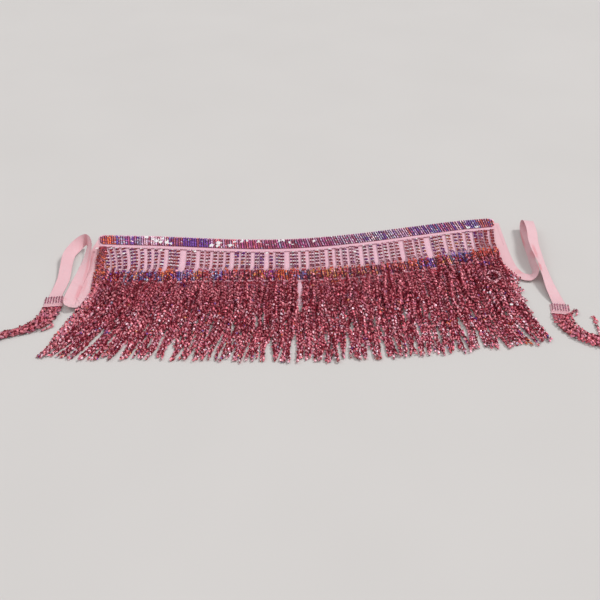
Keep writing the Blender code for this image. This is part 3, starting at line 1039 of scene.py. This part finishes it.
def lay_strand(spots, route, rng, colour_at, straight, half, rope=(ROPE_WIDE, ROPE_HIGH), strings=2,
               untidy=0.4):
    """Adds the sequins of a strand: straight strings first, then a twisted rope.

    straight is how far down the strings begin to twist, and half is each one's distance
    from the middle until there. rope is how far they swing sideways and up. untidy is
    how unevenly the strands start their dots.
    """
    lengths = measured(route)
    total = lengths[-1]
    rope_turn = math.tau / (ROPE_TURN * rng.uniform(0.75, 1.35)) * rng.choice((1, 1, -1))
    phase, step_late = rng.uniform(0, math.tau), rng.gauss(0, untidy) / math.pi
    for string in range(strings):
        drift, stroke, pick = rng.gauss(0, 0.15), None, 0
        pace = rng.gauss(1, 0.012)
        distance = STRAIGHT_STEP / 2
        while distance < total:
            middle, along = point_on(route, lengths, distance)
            side = along.cross(UP).normalized()
            loose = soft_step(straight, straight + LOOSENING, distance)
            near_tip = soft_step(total - TIP_LONG, total, distance)
            closing = 1 - soft_step(total - TIP_CLOSING, total, distance)
            # Where the string is, round the strand's middle line.
            angle = math.pi * string + phase + rope_turn * max(0, distance - straight)
            angle += 0.9 * math.sin(distance * 0.09 + phase * 3)
            wide = rope[0] * loose * (1 - 0.4 * near_tip) * closing
            apart = half * math.cos(math.pi * string) * (1 - loose)
            place = middle + side * (apart + wide * math.cos(angle)) + UP * rope[1] * loose * math.sin(angle)
            place += side * rng.gauss(0, 0.9 * loose * (1 - 0.75 * near_tip))
            swing = side * -math.sin(angle) * wide + UP * math.cos(angle) * rope[1] * loose
            # How the sequin is turned on its string, and how large it is.
            drift += rng.gauss(0, 0.04 + 0.2 * loose) - 0.08 * loose * drift
            size = STRAIGHT_SEQUIN + (STRING_SEQUIN - STRAIGHT_SEQUIN) * loose * (1 - 0.8 * near_tip)
            size *= rng.uniform(0.93, 1.07) * (1 - 0.1 * near_tip)
            half_turns = math.floor(2 * distance / (STRING_TURN * pace) + step_late)
            roll = drift + (math.pi * half_turns if loose < 0.5 else math.pi / 2 - angle)
            lean = (0.2 if loose > 0.5 else -0.3) + rng.gauss(0, 0.1)
            turn = facing(along + swing * rope_turn, roll, lean, rng.uniform(0, math.tau))
            place.z = max(place.z, rest_height(turn, size))
            # Sequins of one stroke, front or back, take their colour together.
            if int(roll / math.pi + 50.5) != stroke:
                stroke, pick = int(roll / math.pi + 50.5), rng.random()
            tint = colour_at(place, distance / total, math.cos(roll), pick, rng)
            spots.append(sequin(place, turn, size, tint))
            distance += (STRAIGHT_STEP + (STRING_STEP - STRAIGHT_STEP) * loose) * pace


print("a string shows its dark back every", round(STRING_TURN, 1), "mm")

# %% [markdown]
# A strand is wine and rose, its fronts brighter than its backs, with soft patches that run on from one strand
# to the next. Sequins on top of a rope show their fronts and those beneath show their backs, whose darker
# colours are partly painted shade. The upper fringe changes on its way down: it is pale with dark dots over
# the bare cloth, the pale lightened as a painted reflection and the dots darkened as painted shade, and gold
# and rust where it crosses the lower trim.

# %% Strand colours
def pick_from(palette, pick):
    return palette[int(pick * len(palette))]


FLECK_CHANCE, PALE_CHANCE = 0.012, 0.26
STRAND_BRIGHT, TIP_BRIGHTER = 1.04, 0.2


def strand_colour(place, share, shows, pick, rng):
    """Wine and rose, lighter and darker in soft patches, with a rare iridescent fleck; sequins turned down or
    away take the darker back colours, as painted shade.
    """
    tint = pick_from(STRAND_FRONTS if shows > 0 else STRAND_SHADED_BACKS, pick)
    patch = noise.noise(Vector((place.x * 0.03, place.y * 0.05, 3)))
    fine = noise.noise(Vector((place.x * 0.2, place.y * 0.12, 9)))
    toward_tip = soft_step(0.6, 0.85, share)
    if rng.random() < FLECK_CHANCE + 0.04 * soft_step(0.86, 1, share):
        tint = rng.choice((VIOLET, GOLD, ORANGE, STEEL, PINK))
    elif rng.random() < PALE_CHANCE * toward_tip:
        tint = PALE_ROSE
    shade = STRAND_BRIGHT + 0.35 * patch + 0.7 * fine + TIP_BRIGHTER * toward_tip
    # A little lighter on the right, and darker towards the left end: painted light and painted shade.
    shade += 0.06 * soft_step(0, 150, place.x)
    shade -= 0.12 * soft_step(280, 430, -place.x)
    return jitter(flash_colour(place, shaded(tint, max(shade, 0.3)), rng), rng, 0.14)


# Over the bare cloth the dots, sequins seen from behind, are darkened as painted shade, and the pale fronts
# between them are lightened as a painted reflection.
DOT_PAINTED_SHADE, RUSTY_DOT, FRONT_PAINTED_LIGHT = 0.52, 0.95, 1.42
RUSTY_END = 0.945


def upper_colour(place, share, shows, pick, rng):
    """Pale over the bare cloth, gold and rust over the lower trim, wine below it."""
    trim = trim_top(place.x, low=True)
    at = within((place.x - BELT[0][2]) / (BELT[-1][2] - BELT[0][2]))
    if place.y > trim + 1:
        ending = at > RUSTY_END + rng.gauss(0, 0.01)
        fronts = END_FRONTS if ending else BARE_FRONTS
        tint = pick_from(fronts, pick) if shows > 0.05 else zone_colour(BARE_ZONES, at, rng, pick)
        shade = DOT_PAINTED_SHADE if shows < 0.05 else RUSTY_DOT if ending else FRONT_PAINTED_LIGHT
        return jitter(flash_colour(place, tint, rng), rng, 0.14, shade)
    if place.y > trim - TRIM_DROP:
        zone = zone_colour(HIP_ZONES, at, rng)
        tint = rng.choice((zone, zone, ROSE if shows > 0 else DARK_ROSE))
        return jitter(flash_colour(place, tint, rng), rng, 0.55, 1.22)
    return strand_colour(place, share, shows, pick, rng)


print(len(set(STRAND_FRONTS + STRAND_SHADED_BACKS)), "tints for the strands")

# %% [markdown]
# ## Filling a fringe
# The strands leave the tape at even steps. Near it they gather by ones, twos and
# threes, which bares stripes of pink cloth, and towards their tips they cling together
# in clumps with the table showing between them: small clumps, and wider bunches of
# those. They cling less towards the right, and hang least evenly at the belt's two ends.

# %% Filling a fringe
ROUTE_POINTS = 44
BUNCHING = 0.42


def fringe_strands(count, low, tape, spread, rows_for, straight, half, colour_at, gather, pull, seed):
    """Sequins of a whole fringe, left half and right half, and the routes of its threads.

    gather says how closely the strands draw together at the tape, and pull at the tips.
    """
    rng = random.Random(seed)
    halves, cores = ([], []), []
    pitch = BELT_LONG / count
    gathers = clumps(count, (1, 1, 2, 2, 3), rng)
    tips = clumps(count, (1, 1, 2, 2, 3), rng)
    bunches = clumps(count, (4, 5, 7, 9), rng)
    clump_length, clump_pull = {}, {}
    for i in range(count):
        even = (i + 0.5) / count
        at = even_at(even)
        root = trim_point(at, TRIM_DROP + tape, low)
        shape = named(spread, SPREAD, at)
        extra = clump_length.setdefault(tips[i], rng.uniform(-TIP_JITTER, TIP_JITTER))
        tip_y = shape["tip_y"] + extra + rng.uniform(-2.5, 2.5)
        tight = clump_pull.setdefault(gathers[i], rng.uniform(0.1, 1.7)) * gather
        tight *= 1 + 0.6 * (1 - soft_step(0.12, 0.34, even))
        top_shift = (gathers[i] - i) * pitch * tight + rng.gauss(0, 1.3)
        cling = pull * (1 - 0.2 * soft_step(0.25, 0.4, even) - 0.35 * soft_step(0.7, 0.84, even))
        tip_shift = (tips[i] - i) * pitch * cling * rng.uniform(0.6, 1.2) + rng.gauss(0, 1.2)
        tip_shift += (bunches[i] - i) * pitch * cling * BUNCHING
        wave, start = rng.uniform(1.5, 5.5), rng.uniform(0, math.tau)
        rows = rows_for(root[0])
        lift = rng.gauss(0, 0.5)
        route = []
        for step in range(ROUTE_POINTS):
            share = step / (ROUTE_POINTS - 1)
            x, y = strand_middle(root, shape, tip_y, share)
            free = soft_step(0.2, 0.6, share)
            x += top_shift * (1 - free) + tip_shift * soft_step(0.6, 0.86, share)
            x += wave * free * math.sin(share * 13 + start) * (1 - math.exp(-abs(x - SLIT_AT) / 30))
            x += slit_push(x, y)
            route.append(Vector((x, y, height_along(rows, y) + lift * free)))
        lay_strand(halves[root[0] > SLIT_AT], route, rng, colour_at, straight * rng.uniform(0.9, 1.15),
                   half * rng.uniform(0.8, 1.2), untidy=0.4 + 1.1 * soft_step(0.25, 0.47, abs(even - 0.5)))
        lengths = measured(route)
        cores.append([place for place, run in zip(route, lengths)
                      if straight + 8 < run < lengths[-1] - 9])
    return halves, cores


print("every strand's route has", ROUTE_POINTS, "places")

# %% [markdown]
# The threads wound round each other inside a rope show between its sequins. Tubes along the strands' middles
# stand for them, drawn thicker than thread, so their dark wine also fills the gaps between the sequins as
# painted shade. The two halves of a fringe, left and right of the middle slit, are separate pieces, to keep
# each mesh a handy size.

# %% Both fringes
CORE = 2.3


def threads_and_gap_shade(name, routes, node):
    """Tubes along the routes, as one piece."""
    lines = bpy.data.curves.new(name + "_lines", "CURVE")
    lines.dimensions = "3D"
    lines.bevel_depth = CORE * MM
    lines.bevel_resolution = 0
    lines.use_fill_caps = True
    for route in routes:
        line = lines.splines.new("POLY")
        line.points.add(len(route) - 1)
        for point, place in zip(line.points, route):
            point.co = (*to_frame(Vector((place.x, place.y, max(place.z, CORE)))), 1)
    curve = show(name + "_lines", lines)
    mesh = bpy.data.meshes.new_from_object(curve)
    bpy.data.objects.remove(curve)
    return add_piece(name, mesh, [node], [core_thread_and_gap_shade_finish])


def make_fringe(name, node, filled):
    halves, cores = filled
    for side, spots in zip(("left", "right"), halves):
        scatter(f"{name}_{side}", sequin_shape, spots, [node])
    threads_and_gap_shade(name + "_threads", cores, node)


make_fringe("upper_strands", "upper_fringe",
            fringe_strands(UPPER_STRANDS, False, TAPE_DROP, UPPER_SPREAD, upper_rows, straight=84, half=2.2,
                           colour_at=upper_colour, gather=0.2, pull=0.55, seed=31))
make_fringe("lower_strands", "lower_fringe",
            fringe_strands(LOWER_STRANDS, True, 1.5, LOWER_SPREAD, lower_rows, straight=10, half=2.5,
                           colour_at=strand_colour, gather=0.06, pull=0.75, seed=32))

# %% [markdown]
# ## The ribbon ties
# A 25 mm grosgrain ribbon is caught under each end of the belt. Off the belt it turns
# on its edge, doubles back, stands up in a fold and runs down to its tassel. The route
# is a list of measured places, each with the way the ribbon faces there: which way one
# edge lies from the other (turn) and how far that edge is lifted (tilt).

# %% Ribbon routes
ROUTE = ("x", "y", "z", "turn", "tilt")
RIGHT_TIE = (
    (436.5, 276, 0.5, 0, 0), (436.5, 200, 0.5, 0, 0), (437.5, 150, 0.5, 0, 0), (441, 112, 0.9, 12, -2),
    (449.5, 85, 2.4, 38, -5), (461, 71.5, 3.6, 66, -4), (473.5, 69.5, 5, 98, -8), (482, 76.5, 11, 140, -48),
    (485, 92, 12.6, 172, -80), (487, 118, 12.4, 180, -76), (491, 152, 11.6, 180, -64),
    (494.5, 190, 10.6, 180, -46), (498, 225, 10.4, 180, -28), (501, 246, 12.4, 180, -12),
    (503, 254.5, 17.5, 180, 0), (504.5, 251, 23.5, 180, 8), (505, 238, 26, 180, 14),
    (503, 205, 26.8, 180, 18), (497, 165, 27, 180, 20), (496.5, 125, 24.6, 180, 26),
    (500, 92, 18.4, 182, 34), (502, 60, 13.4, 186, 28), (504.5, 25, 8.4, 184, 16), (509.5, -7, 3, 176, 4),
    (511, -16.5, 2.4, 172, 0),
)
LEFT_TIE = (
    (-430, 214, 0.5, 0, 0), (-437, 165, 0.5, 0, 0), (-436.5, 120, 0.5, 0, 0), (-433.5, 75, 0.6, 0, 1),
    (-431.5, 32, 0.6, -4, 0), (-432, 3, 0.8, -20, 3), (-436.5, -19, 3, -56, 14),
    (-445.5, -27, 6.5, -100, 30), (-453.5, -17, 6.5, -150, 28), (-455.5, 12, 3.6, -176, 12),
    (-453.5, 55, 2, -186, 2), (-450, 100, 3.8, -184, -14), (-448.5, 135, 13.5, -184, -42),
    (-450.5, 163, 17.5, -180, -54), (-456, 178.5, 20, -150, -74), (-464.5, 180, 20, -70, -72),
    (-476.5, 161, 18, -20, -44), (-487, 133, 14, -8, -20), (-486.5, 98.5, 8, -4, -8),
    (-483.5, 60, 5, 0, -6), (-487, 18, 2.4, 6, 0), (-488.5, 6.5, 2.2, 6, 0),
)
NEARBY = 0.002
RIBBON_THIN = 0.6
RESTS_BELOW = 2.5


def ribbon_middle(route, at):
    here = named(route, ROUTE, at)
    return Vector((here["x"], here["y"], here["z"]))


def ribbon_frame(route, at):
    """Middle, edge-to-edge direction and face direction of a ribbon at a place along it."""
    here = named(route, ROUTE, at)
    wide = pointing(here["turn"], here["tilt"])
    run = ribbon_middle(route, at + NEARBY) - ribbon_middle(route, at - NEARBY)
    run = (run - wide * run.dot(wide)).normalized()
    face = run.cross(wide)
    middle = ribbon_middle(route, at)
    lowest = abs(wide.z) * RIBBON_WIDE / 2 + abs(face.z) * 0.5
    middle.z = max(middle.z, lowest)
    return middle, wide, face


def ribbon_length(route):
    places = [ribbon_frame(route, step / 400)[0] for step in range(401)]
    return measured(places)[-1]


print("ribbons measure", round(ribbon_length(RIGHT_TIE)), "and", round(ribbon_length(LEFT_TIE)), "mm")

# %% [markdown]
# A ribbon never lies perfectly flat. Its selvedges curl up a little, it cups across,
# and where it was folded in its packet it keeps soft creases, some straight across and
# some slanting. Each crease is a row below: where it crosses the ribbon, its slant, how
# wide it is and how deep. Where the ribbon rests on the table, all of this shows more.

# %% Ribbons
# Creases: place along the ribbon (0 to 1), slant, half width (mm), depth (mm).
RIGHT_CREASES = (
    (0.055, 0.2, 3, 0.35), (0.13, -0.5, 4, 0.5), (0.215, 0.8, 3.5, 0.9), (0.27, -0.6, 4, 0.8),
    (0.34, 0.3, 5, 0.6), (0.46, -0.4, 6, 0.7), (0.7, 0.5, 6, 0.7), (0.79, -0.7, 4, 0.8),
    (0.84, 0.6, 4.5, 0.7), (0.93, -0.3, 5, 0.5),
)
LEFT_CREASES = (
    (0.07, 0.3, 4, 0.4), (0.16, -0.5, 4, 0.5), (0.235, 0.9, 2.5, 2), (0.27, -1.1, 2.5, 2.6),
    (0.305, 0.8, 2.5, 2.6), (0.335, -0.7, 3, 2.2), (0.4, 0.6, 3.5, 1), (0.47, -0.5, 3.5, 1.4),
    (0.54, 0.5, 2.5, 2.2), (0.6, 0.8, 2.5, 2.4), (0.645, -0.6, 2.5, 2), (0.7, 0.9, 4, 1.2),
    (0.78, -0.7, 5, 1), (0.86, 0.6, 5, 0.9), (0.95, 0.3, 4, 0.4),
)


# Painted fold shade: where the thin ribbon folds, lies double or turns over, its pink is painted salmon: x,
# y, reach in x and y, how much.
FOLD_SHADE_PATCHES = (
    (-445, 25, 4, 26, 0.5), (-437, 42, 3, 22, 0.35), (-460, 176, 3.5, 24, 0.5), (-443, 112, 3, 55, 0.5),
    (-466, -8, 6, 7, 0.3), (492, 129, 4, 22, 0.7), (454, 91, 9, 9, 0.5), (486, 208, 3, 26, 0.8),
    (492, 81, 4, 11, 0.9),
)


def fold_shade_at(place):
    share = 0
    for x, y, long, wide, most in FOLD_SHADE_PATCHES:
        share = max(share, most * math.exp(-((place[0] - x) / long) ** 4 - ((place[1] - y) / wide) ** 4))
    return share


def make_ribbon(name, route, creases):
    length = ribbon_length(route)

    def place_at(u, v):
        middle, wide, face = ribbon_frame(route, v)
        across = (u - 0.5) * RIBBON_WIDE
        dent = 0
        for at, slant, half, depth in creases:
            away = ((v - at) * length + slant * across) / half
            dent += depth * math.exp(-1.4 * abs(away))
        cup = 0.35 * (across / (RIBBON_WIDE / 2)) ** 4 + 0.1 * math.sin(v * 90 + u * 4)
        up = face if face.z >= 0 else -face
        lift = (cup + dent) * (1 if middle.z < RESTS_BELOW else 0.7)
        place = middle + wide * across + up * (lift * 0.8)
        place.z = max(place.z, RIBBON_THIN)
        return place
    return cloth_sheet(name, (12, 420), (RIBBON_WIDE, length), place_at, RIBBON_THIN,
                       ribbon_finish, [name.replace("_tie", "")], fold_shade_at)


right_ribbon = make_ribbon("ribbon_tie_right", RIGHT_TIE, RIGHT_CREASES)
left_ribbon = make_ribbon("ribbon_tie_left", LEFT_TIE, LEFT_CREASES)

# %% [markdown]
# ## The tassels
# Each ribbon ends in a tassel: a short piece of the same trim folded round the
# ribbon's end, with a pink margin below its columns and its own small fringe, which
# was swept out sideways when the belt was laid down.

# %% Tassel places
HEAD_WIDE = 38
HEAD_DROP = 26
HEAD_COLUMNS = 7
HEAD_MARGIN = 4
HEAD_HIGH = 3.3
HEAD_SEQUIN = 2.9
TIE_TAPE_DROP = 5
FAN = 6
TIES = {
    "right": {"route": RIGHT_TIE, "sweep": 66, "reach": 205, "seed": 41},
    "left": {"route": LEFT_TIE, "sweep": -68, "reach": 200, "seed": 42},
}


def head_angle(tie):
    """Which way a tassel's head points: square to its ribbon's end."""
    turn = tie["route"][-1][3]
    return turn - 180 if turn > 90 else turn


def below_ribbon(tie, across, down, height=0):
    """A place given across and down from the end of a tie's ribbon."""
    x, y = tie["route"][-1][:2]
    angle = math.radians(head_angle(tie))
    return Vector((x + across * math.cos(angle) + down * math.sin(angle),
                   y + across * math.sin(angle) - down * math.cos(angle), height))


print("the tassels' heads are turned by", [head_angle(tie) for tie in TIES.values()], "degrees")

# %% [markdown]
# The head is one band of ribbon, bent over at its edges like a small cushion. Seven
# columns of dark sequins run down it and stop short of its lower margin.

# %% Tassel heads
def make_head(side, tie):
    """The folded trim: a pink band, rounded over at its edges, and its sequin columns."""
    rng = random.Random(tie["seed"])

    def place_at(u, v):
        edge = min(u * HEAD_WIDE, (1 - u) * HEAD_WIDE, v * HEAD_DROP, (1 - v) * HEAD_DROP)
        height = 0.9 + (HEAD_HIGH - 0.9) * math.sin(math.pi / 2 * min(edge / 3, 1))
        height += 0.15 * math.sin(u * 24) * math.sin(v * 5)
        return below_ribbon(tie, (u - 0.5) * HEAD_WIDE, SEAM + HEAD_DROP * (1 - v), height)
    cloth_sheet("tie_head_band_" + side, (30, 22), (HEAD_WIDE, HEAD_DROP), place_at, TAPE_THIN,
                ribbon_finish)
    spots = []
    down_way = below_ribbon(tie, 0, 1) - below_ribbon(tie, 0, 0)
    for column in range(HEAD_COLUMNS):
        across = ((column + 0.5) / HEAD_COLUMNS - 0.5) * (HEAD_WIDE - 2)
        for step in range(int((HEAD_DROP - HEAD_MARGIN) / SCALE_STEP)):
            place = below_ribbon(tie, across + rng.gauss(0, 0.25), 2.4 + step * SCALE_STEP,
                                 HEAD_HIGH + 1.3 + rng.uniform(-0.2, 0.3))
            turn = facing(down_way, rng.gauss(-0.2, 0.2), 0.3 + rng.gauss(0, 0.1),
                          rng.uniform(0, math.tau))
            tint = rng.choice((DARK_MAROON, MAROON, FURROW))
            spots.append(sequin(place, turn, HEAD_SEQUIN, jitter(tint, rng)))
    return scatter("tie_head_sequins_" + side, sequin_shape, spots, ["tie_head_" + side])


for side, tie in TIES.items():
    make_head(side, tie)

# %% [markdown]
# The tassel's strands leave the head together, swing round, and drift apart. They are
# laid exactly as the long fringe's are, each along a route that turns step by step.

# %% Tassel strands
TIE_STRANDS = 8
TIE_STEPS = 40


def tassel_route(tie, across, share, length, rng):
    """One strand: straight out of the head, then sweeping round over its first half."""
    points = head_angle(tie)
    place = below_ribbon(tie, across, HEAD_DROP + 3.5, 2.8)
    route = [place.copy()]
    wave, start = rng.uniform(5, 12), rng.uniform(0, math.tau)
    for step in range(TIE_STEPS):
        along = (step + 1) / TIE_STEPS
        way = points + (tie["sweep"] - points) * soft_step(-0.05, 0.55, along) + FAN * share
        way += wave * math.sin(along * 9 + start) * soft_step(0.1, 0.4, along)
        turn = math.radians(way)
        place = place + Vector((math.sin(turn), -math.cos(turn), 0)) * length / TIE_STEPS
        route.append(place + UP * (1.6 * math.sin(along * 7 + start) ** 2 + 0.8))
    return route


for side, tie in TIES.items():
    rng = random.Random(tie["seed"] + 10)
    tassel = []
    for i in range(TIE_STRANDS):
        share = i / (TIE_STRANDS - 1) - 0.5
        across = ((i + 0.5) / TIE_STRANDS - 0.5) * HEAD_WIDE * 0.88
        length = tie["reach"] * rng.uniform(0.94, 1)
        route = tassel_route(tie, across, share, length, rng)
        lay_strand(tassel, route, rng, strand_colour, straight=1, half=2)
    scatter("tassel_strands_" + side, sequin_shape, tassel, ["tie_fringe_" + side])

    def tape_place(u, v, tie=tie):
        return below_ribbon(tie, (u - 0.5) * HEAD_WIDE, HEAD_DROP + SEAM + TIE_TAPE_DROP * (1 - v), 2.4)
    cloth_sheet("tie_tape_" + side, (24, 4), (HEAD_WIDE, TIE_TAPE_DROP), tape_place, TAPE_THIN,
                ribbon_finish)

# %% [markdown]
# ## Strands that went astray
# A belt that has been worn never lies tidy. A sheaf of strands runs down the belt's left
# edge, its right edge frays into short ropes, a small ring of string stands clear at the
# right, and single tips curl beside the tassels. Each is a short list of places,
# smoothed by the same curve.

# %% Where the strays lie
# Each: strings, height above the table, then places (x, y).
STRAYS = (
    (2, 3.4, ((-422, 170), (-428, 148), (-426, 119), (-422, 85), (-421, 51), (-419, 24))),
    (1, 5, ((-424, 52), (-417, 82), (-409, 74), (-404, 58))),
    (1, 16.5, ((381, 56), (386, 43), (396, 40), (405, 49), (407, 62), (400, 74), (389, 74), (382, 63))),
    (2, 3.2, ((520, -44), (524, -51), (531, -39), (538, -34), (540, -42), (534, -51))),
    (2, 3, ((563, -57), (567, -56), (566, -78), (564, -112))),
    (2, 3.4, ((-500, -84), (-489, -82), (-482, -71), (-476, -74), (-472, -82), (-480, -90), (-489, -97))),
)
RUSTY_STRAY, RING_STRAY = 0, 2

# The left edge is a sheaf of strands between two routes, each cut at its own length.
EDGE_OUTER = (
    (-430, 177), (-422, 120), (-415, 60), (-418, 5), (-436, -42), (-450, -82), (-463, -118), (-483, -170),
)
EDGE_INNER = (
    (-420, 176), (-414, 120), (-403, 60), (-399, 8), (-414, -48), (-430, -92), (-444, -126), (-462, -168),
)
EDGE_CUTS = (0.58, 0.68, 0.8, 0.9, 1, 0.86, 0.97)

# The right edge frays into short ropes, each ending a little further down than the last.
FRAYED = (
    ((418, 118), (428, 94), (438, 76), (449, 62)), ((417, 108), (427, 82), (436, 64), (446, 50)),
    ((416, 96), (424, 66), (431, 48), (438, 34)), ((416, 84), (425, 54), (436, 34), (448, 19)),
    ((415, 70), (422, 38), (430, 18), (438, 2)), ((416, 58), (424, 26), (435, 4), (447, -13)),
    ((416, 40), (424, 8), (431, -14), (440, -32)),
)
print(len(STRAYS) + len(EDGE_CUTS) + 2 * len(FRAYED), "stray strands")

# %% [markdown]
# All of them are laid as the fringe is. Those of the left sheaf lie side by side between
# its two routes, and the right edge's ropes are laid in pairs.

# %% Laying the strays
def stray_route(rows, height):
    """A smooth route through a few places, at one height."""
    steps = 12 * len(rows)
    return [Vector((read_off(rows, 0, step / steps), read_off(rows, 1, step / steps), height))
            for step in range(steps + 1)]


def rusty(place, share, shows, pick, rng):
    return jitter(pick_from((RUST, MAROON, ORANGE, WINE, DARK_MAROON), pick), rng, 0.15)


def ring_colour(place, share, shows, pick, rng):
    return jitter(PALE_ROSE, rng)


def edge_colour(place, share, shows, pick, rng):
    """Rust above, like the trim's end, and wine from the hip down."""
    if place.y > 60 + rng.gauss(0, 30):
        return rusty(place, share, shows, pick, rng)
    return strand_colour(place, share, shows, pick, rng)


strays = []
rng = random.Random(51)
for number, (strings, height, rows) in enumerate(STRAYS):
    dye = {RUSTY_STRAY: rusty, RING_STRAY: ring_colour}.get(number, strand_colour)
    lay_strand(strays, stray_route(rows, height), rng, dye, straight=2, half=1.8,
               rope=(strings, strings * 0.6), strings=strings)
for i, end in enumerate(EDGE_CUTS):
    part = (i * 3 % len(EDGE_CUTS)) / (len(EDGE_CUTS) - 1)
    rows = [(out_x + (in_x - out_x) * part, out_y + (in_y - out_y) * part)
            for (out_x, out_y), (in_x, in_y) in zip(EDGE_OUTER, EDGE_INNER)]
    route = stray_route(rows, height=6.5)
    lay_strand(strays, route[:int(len(route) * end)], rng, edge_colour, straight=rng.uniform(0, 12), half=1.9)
for rows in FRAYED:
    for aside in (-2.5, 2.5):
        route = [place + Vector((aside, aside, 0)) for place in stray_route(rows, height=5.5)]
        lay_strand(strays, route, rng, strand_colour, straight=0, half=1.9)
scatter("stray_strands", sequin_shape, strays)

# %% [markdown]
# Here and there one sequin lies flat and is painted white, a painted highlight for a sequin that throws the
# light straight back. It reads as a white dot, larger than its neighbours, so these few are given one by one.

# %% Flashing sequins
FLASH_SEQUIN = 7
# Each: x, y, height.
FLASHING = (
    (-375, 147, 8.5), (-297, 159, 8.5), (-224, 154, 8.5), (-71, 149, 8.5), (117, 154, 8.5), (-436, 165, 9),
    (412, -29, 12.5),
)
flat = facing(DOWN_THE_BELT, 0.1, -0.1)
# Their white is a painted highlight.
flashing = [sequin(Vector(place), flat, FLASH_SEQUIN, WHITE) for place in FLASHING]
scatter("flashing_sequins", sequin_shape, flashing)

# %% [markdown]
# ## Sewing
# The hem, both tapes, the right ribbon's end and the tassels' heads are sewn with straight
# stitches. A seam is a route, and a stitch is a short rounded bar of thread on it, with
# a gap before the next one where the thread goes down through the cloth.

# %% Stitches
STITCH_STEP = 3.6
STITCH_LONG = 2.6


def seam(route):
    """Stitches along a route."""
    lengths = measured(route)
    spots = []
    distance = STITCH_STEP / 2
    while distance < lengths[-1]:
        place, along = point_on(route, lengths, distance)
        spots.append((place, along.to_track_quat("X", "Z"), Vector((STITCH_LONG, 1.6, 1.3)), PINK))
        distance += STITCH_STEP
    return spots


def tape_seam(low, drop, height):
    return seam([Vector((*trim_point(step / 60, drop, low), height)) for step in range(61)])


def hem_seam(edge):
    """Along the cloth's edge, a little inside it, following the cloth's own height."""
    corners = ((edge, edge), (1 - edge, edge), (1 - edge, 1 - edge), (edge, 1 - edge), (edge, edge))
    route = []
    for (u, v), (next_u, next_v) in zip(corners, corners[1:]):
        for step in range(50):
            part = step / 50
            route.append(Vector(base_place(u + (next_u - u) * part, v + (next_v - v) * part)) + UP * 0.25)
    return seam(route)


def head_seam(tie, down):
    half = HEAD_WIDE / 2 - 2.5
    return seam([below_ribbon(tie, across, down, HEAD_HIGH + 0.35) for across in (-half, 0, half)])


stitches = hem_seam(0.017)
stitches += tape_seam(False, TRIM_DROP + 1.6, FLOOR + 2.1) + tape_seam(False, TRIM_DROP + 7.2, FLOOR + 2.1)
stitches += tape_seam(True, TRIM_DROP + 2.5, FLOOR + 3.1)
for tie in TIES.values():
    stitches += head_seam(tie, SEAM + 3) + head_seam(tie, SEAM + HEAD_DROP - 3)
stitches += seam([Vector((443, y, 1.1)) for y in (268, 236, 204, 190)])
scatter("stitches", stitch_shape, stitches)

# %% [markdown]
# ## The table and the light
# The belt lies on a plain pale cloth, wide enough to fill the view.

# %% Table
TABLE_HALF = 4
bm = bmesh.new()
bmesh.ops.create_grid(bm, x_segments=1, y_segments=1, size=TABLE_HALF)
floor_mesh = as_mesh("floor", bm)


def table_cloth(tree):
    return {"Base Color": speckle(tree, 3).mix(colour(211, 207, 204), colour(205, 201, 198))}


floor_mesh.materials.append(new_material("table_cloth", {"Roughness": 0.8}, table_cloth))
floor = show("floor", floor_mesh)
print("the table is", 2 * TABLE_HALF, "m wide")

# %% [markdown]
# The room is lit by daylight: a window behind and to the right gives soft short shadows
# towards the front left, two others fill in from the left and the front, and the sky
# evens out the rest. A wide sun lamp is a window far away.

# %% Daylight
def daylight(name, azimuth, height, strength, spread):
    """A far soft light: where it stands round the belt, how high, how strong and how wide (degrees)."""
    data = bpy.data.lights.new(name, "SUN")
    data.energy = strength
    data.angle = math.radians(spread)
    show(name, data).rotation_euler = pointing(azimuth, height).to_track_quat("Z", "Y").to_euler()


daylight("window_right_back", azimuth=22, height=50, strength=1.7, spread=14)
daylight("window_left", azimuth=165, height=45, strength=0.35, spread=34)
daylight("window_front", azimuth=265, height=60, strength=0.47, spread=50)
world = bpy.data.worlds.new("room")
bpy.context.scene.world = world
world.use_nodes = True
sky = world.node_tree.nodes["Background"].inputs
sky["Color"].default_value = (0.97, 0.98, 1, 1)
sky["Strength"].default_value = 0.445
print("three windows and a sky")

# %% [markdown]
# ## The ties' pieces
# For each tie the ribbon's length is worked out in metres, and the tassel's head band, head sequins and tape
# are looked up by name. Nothing is done with them here.

# %% Sheets
def piece(name):
    return bpy.data.objects[name]


for side, tie, ribbon in (("right", TIES["right"], right_ribbon), ("left", TIES["left"], left_ribbon)):
    ribbon_length(tie["route"]) * MM
    piece("tie_head_band_" + side)
    piece("tie_head_sequins_" + side)
    piece("tie_tape_" + side)
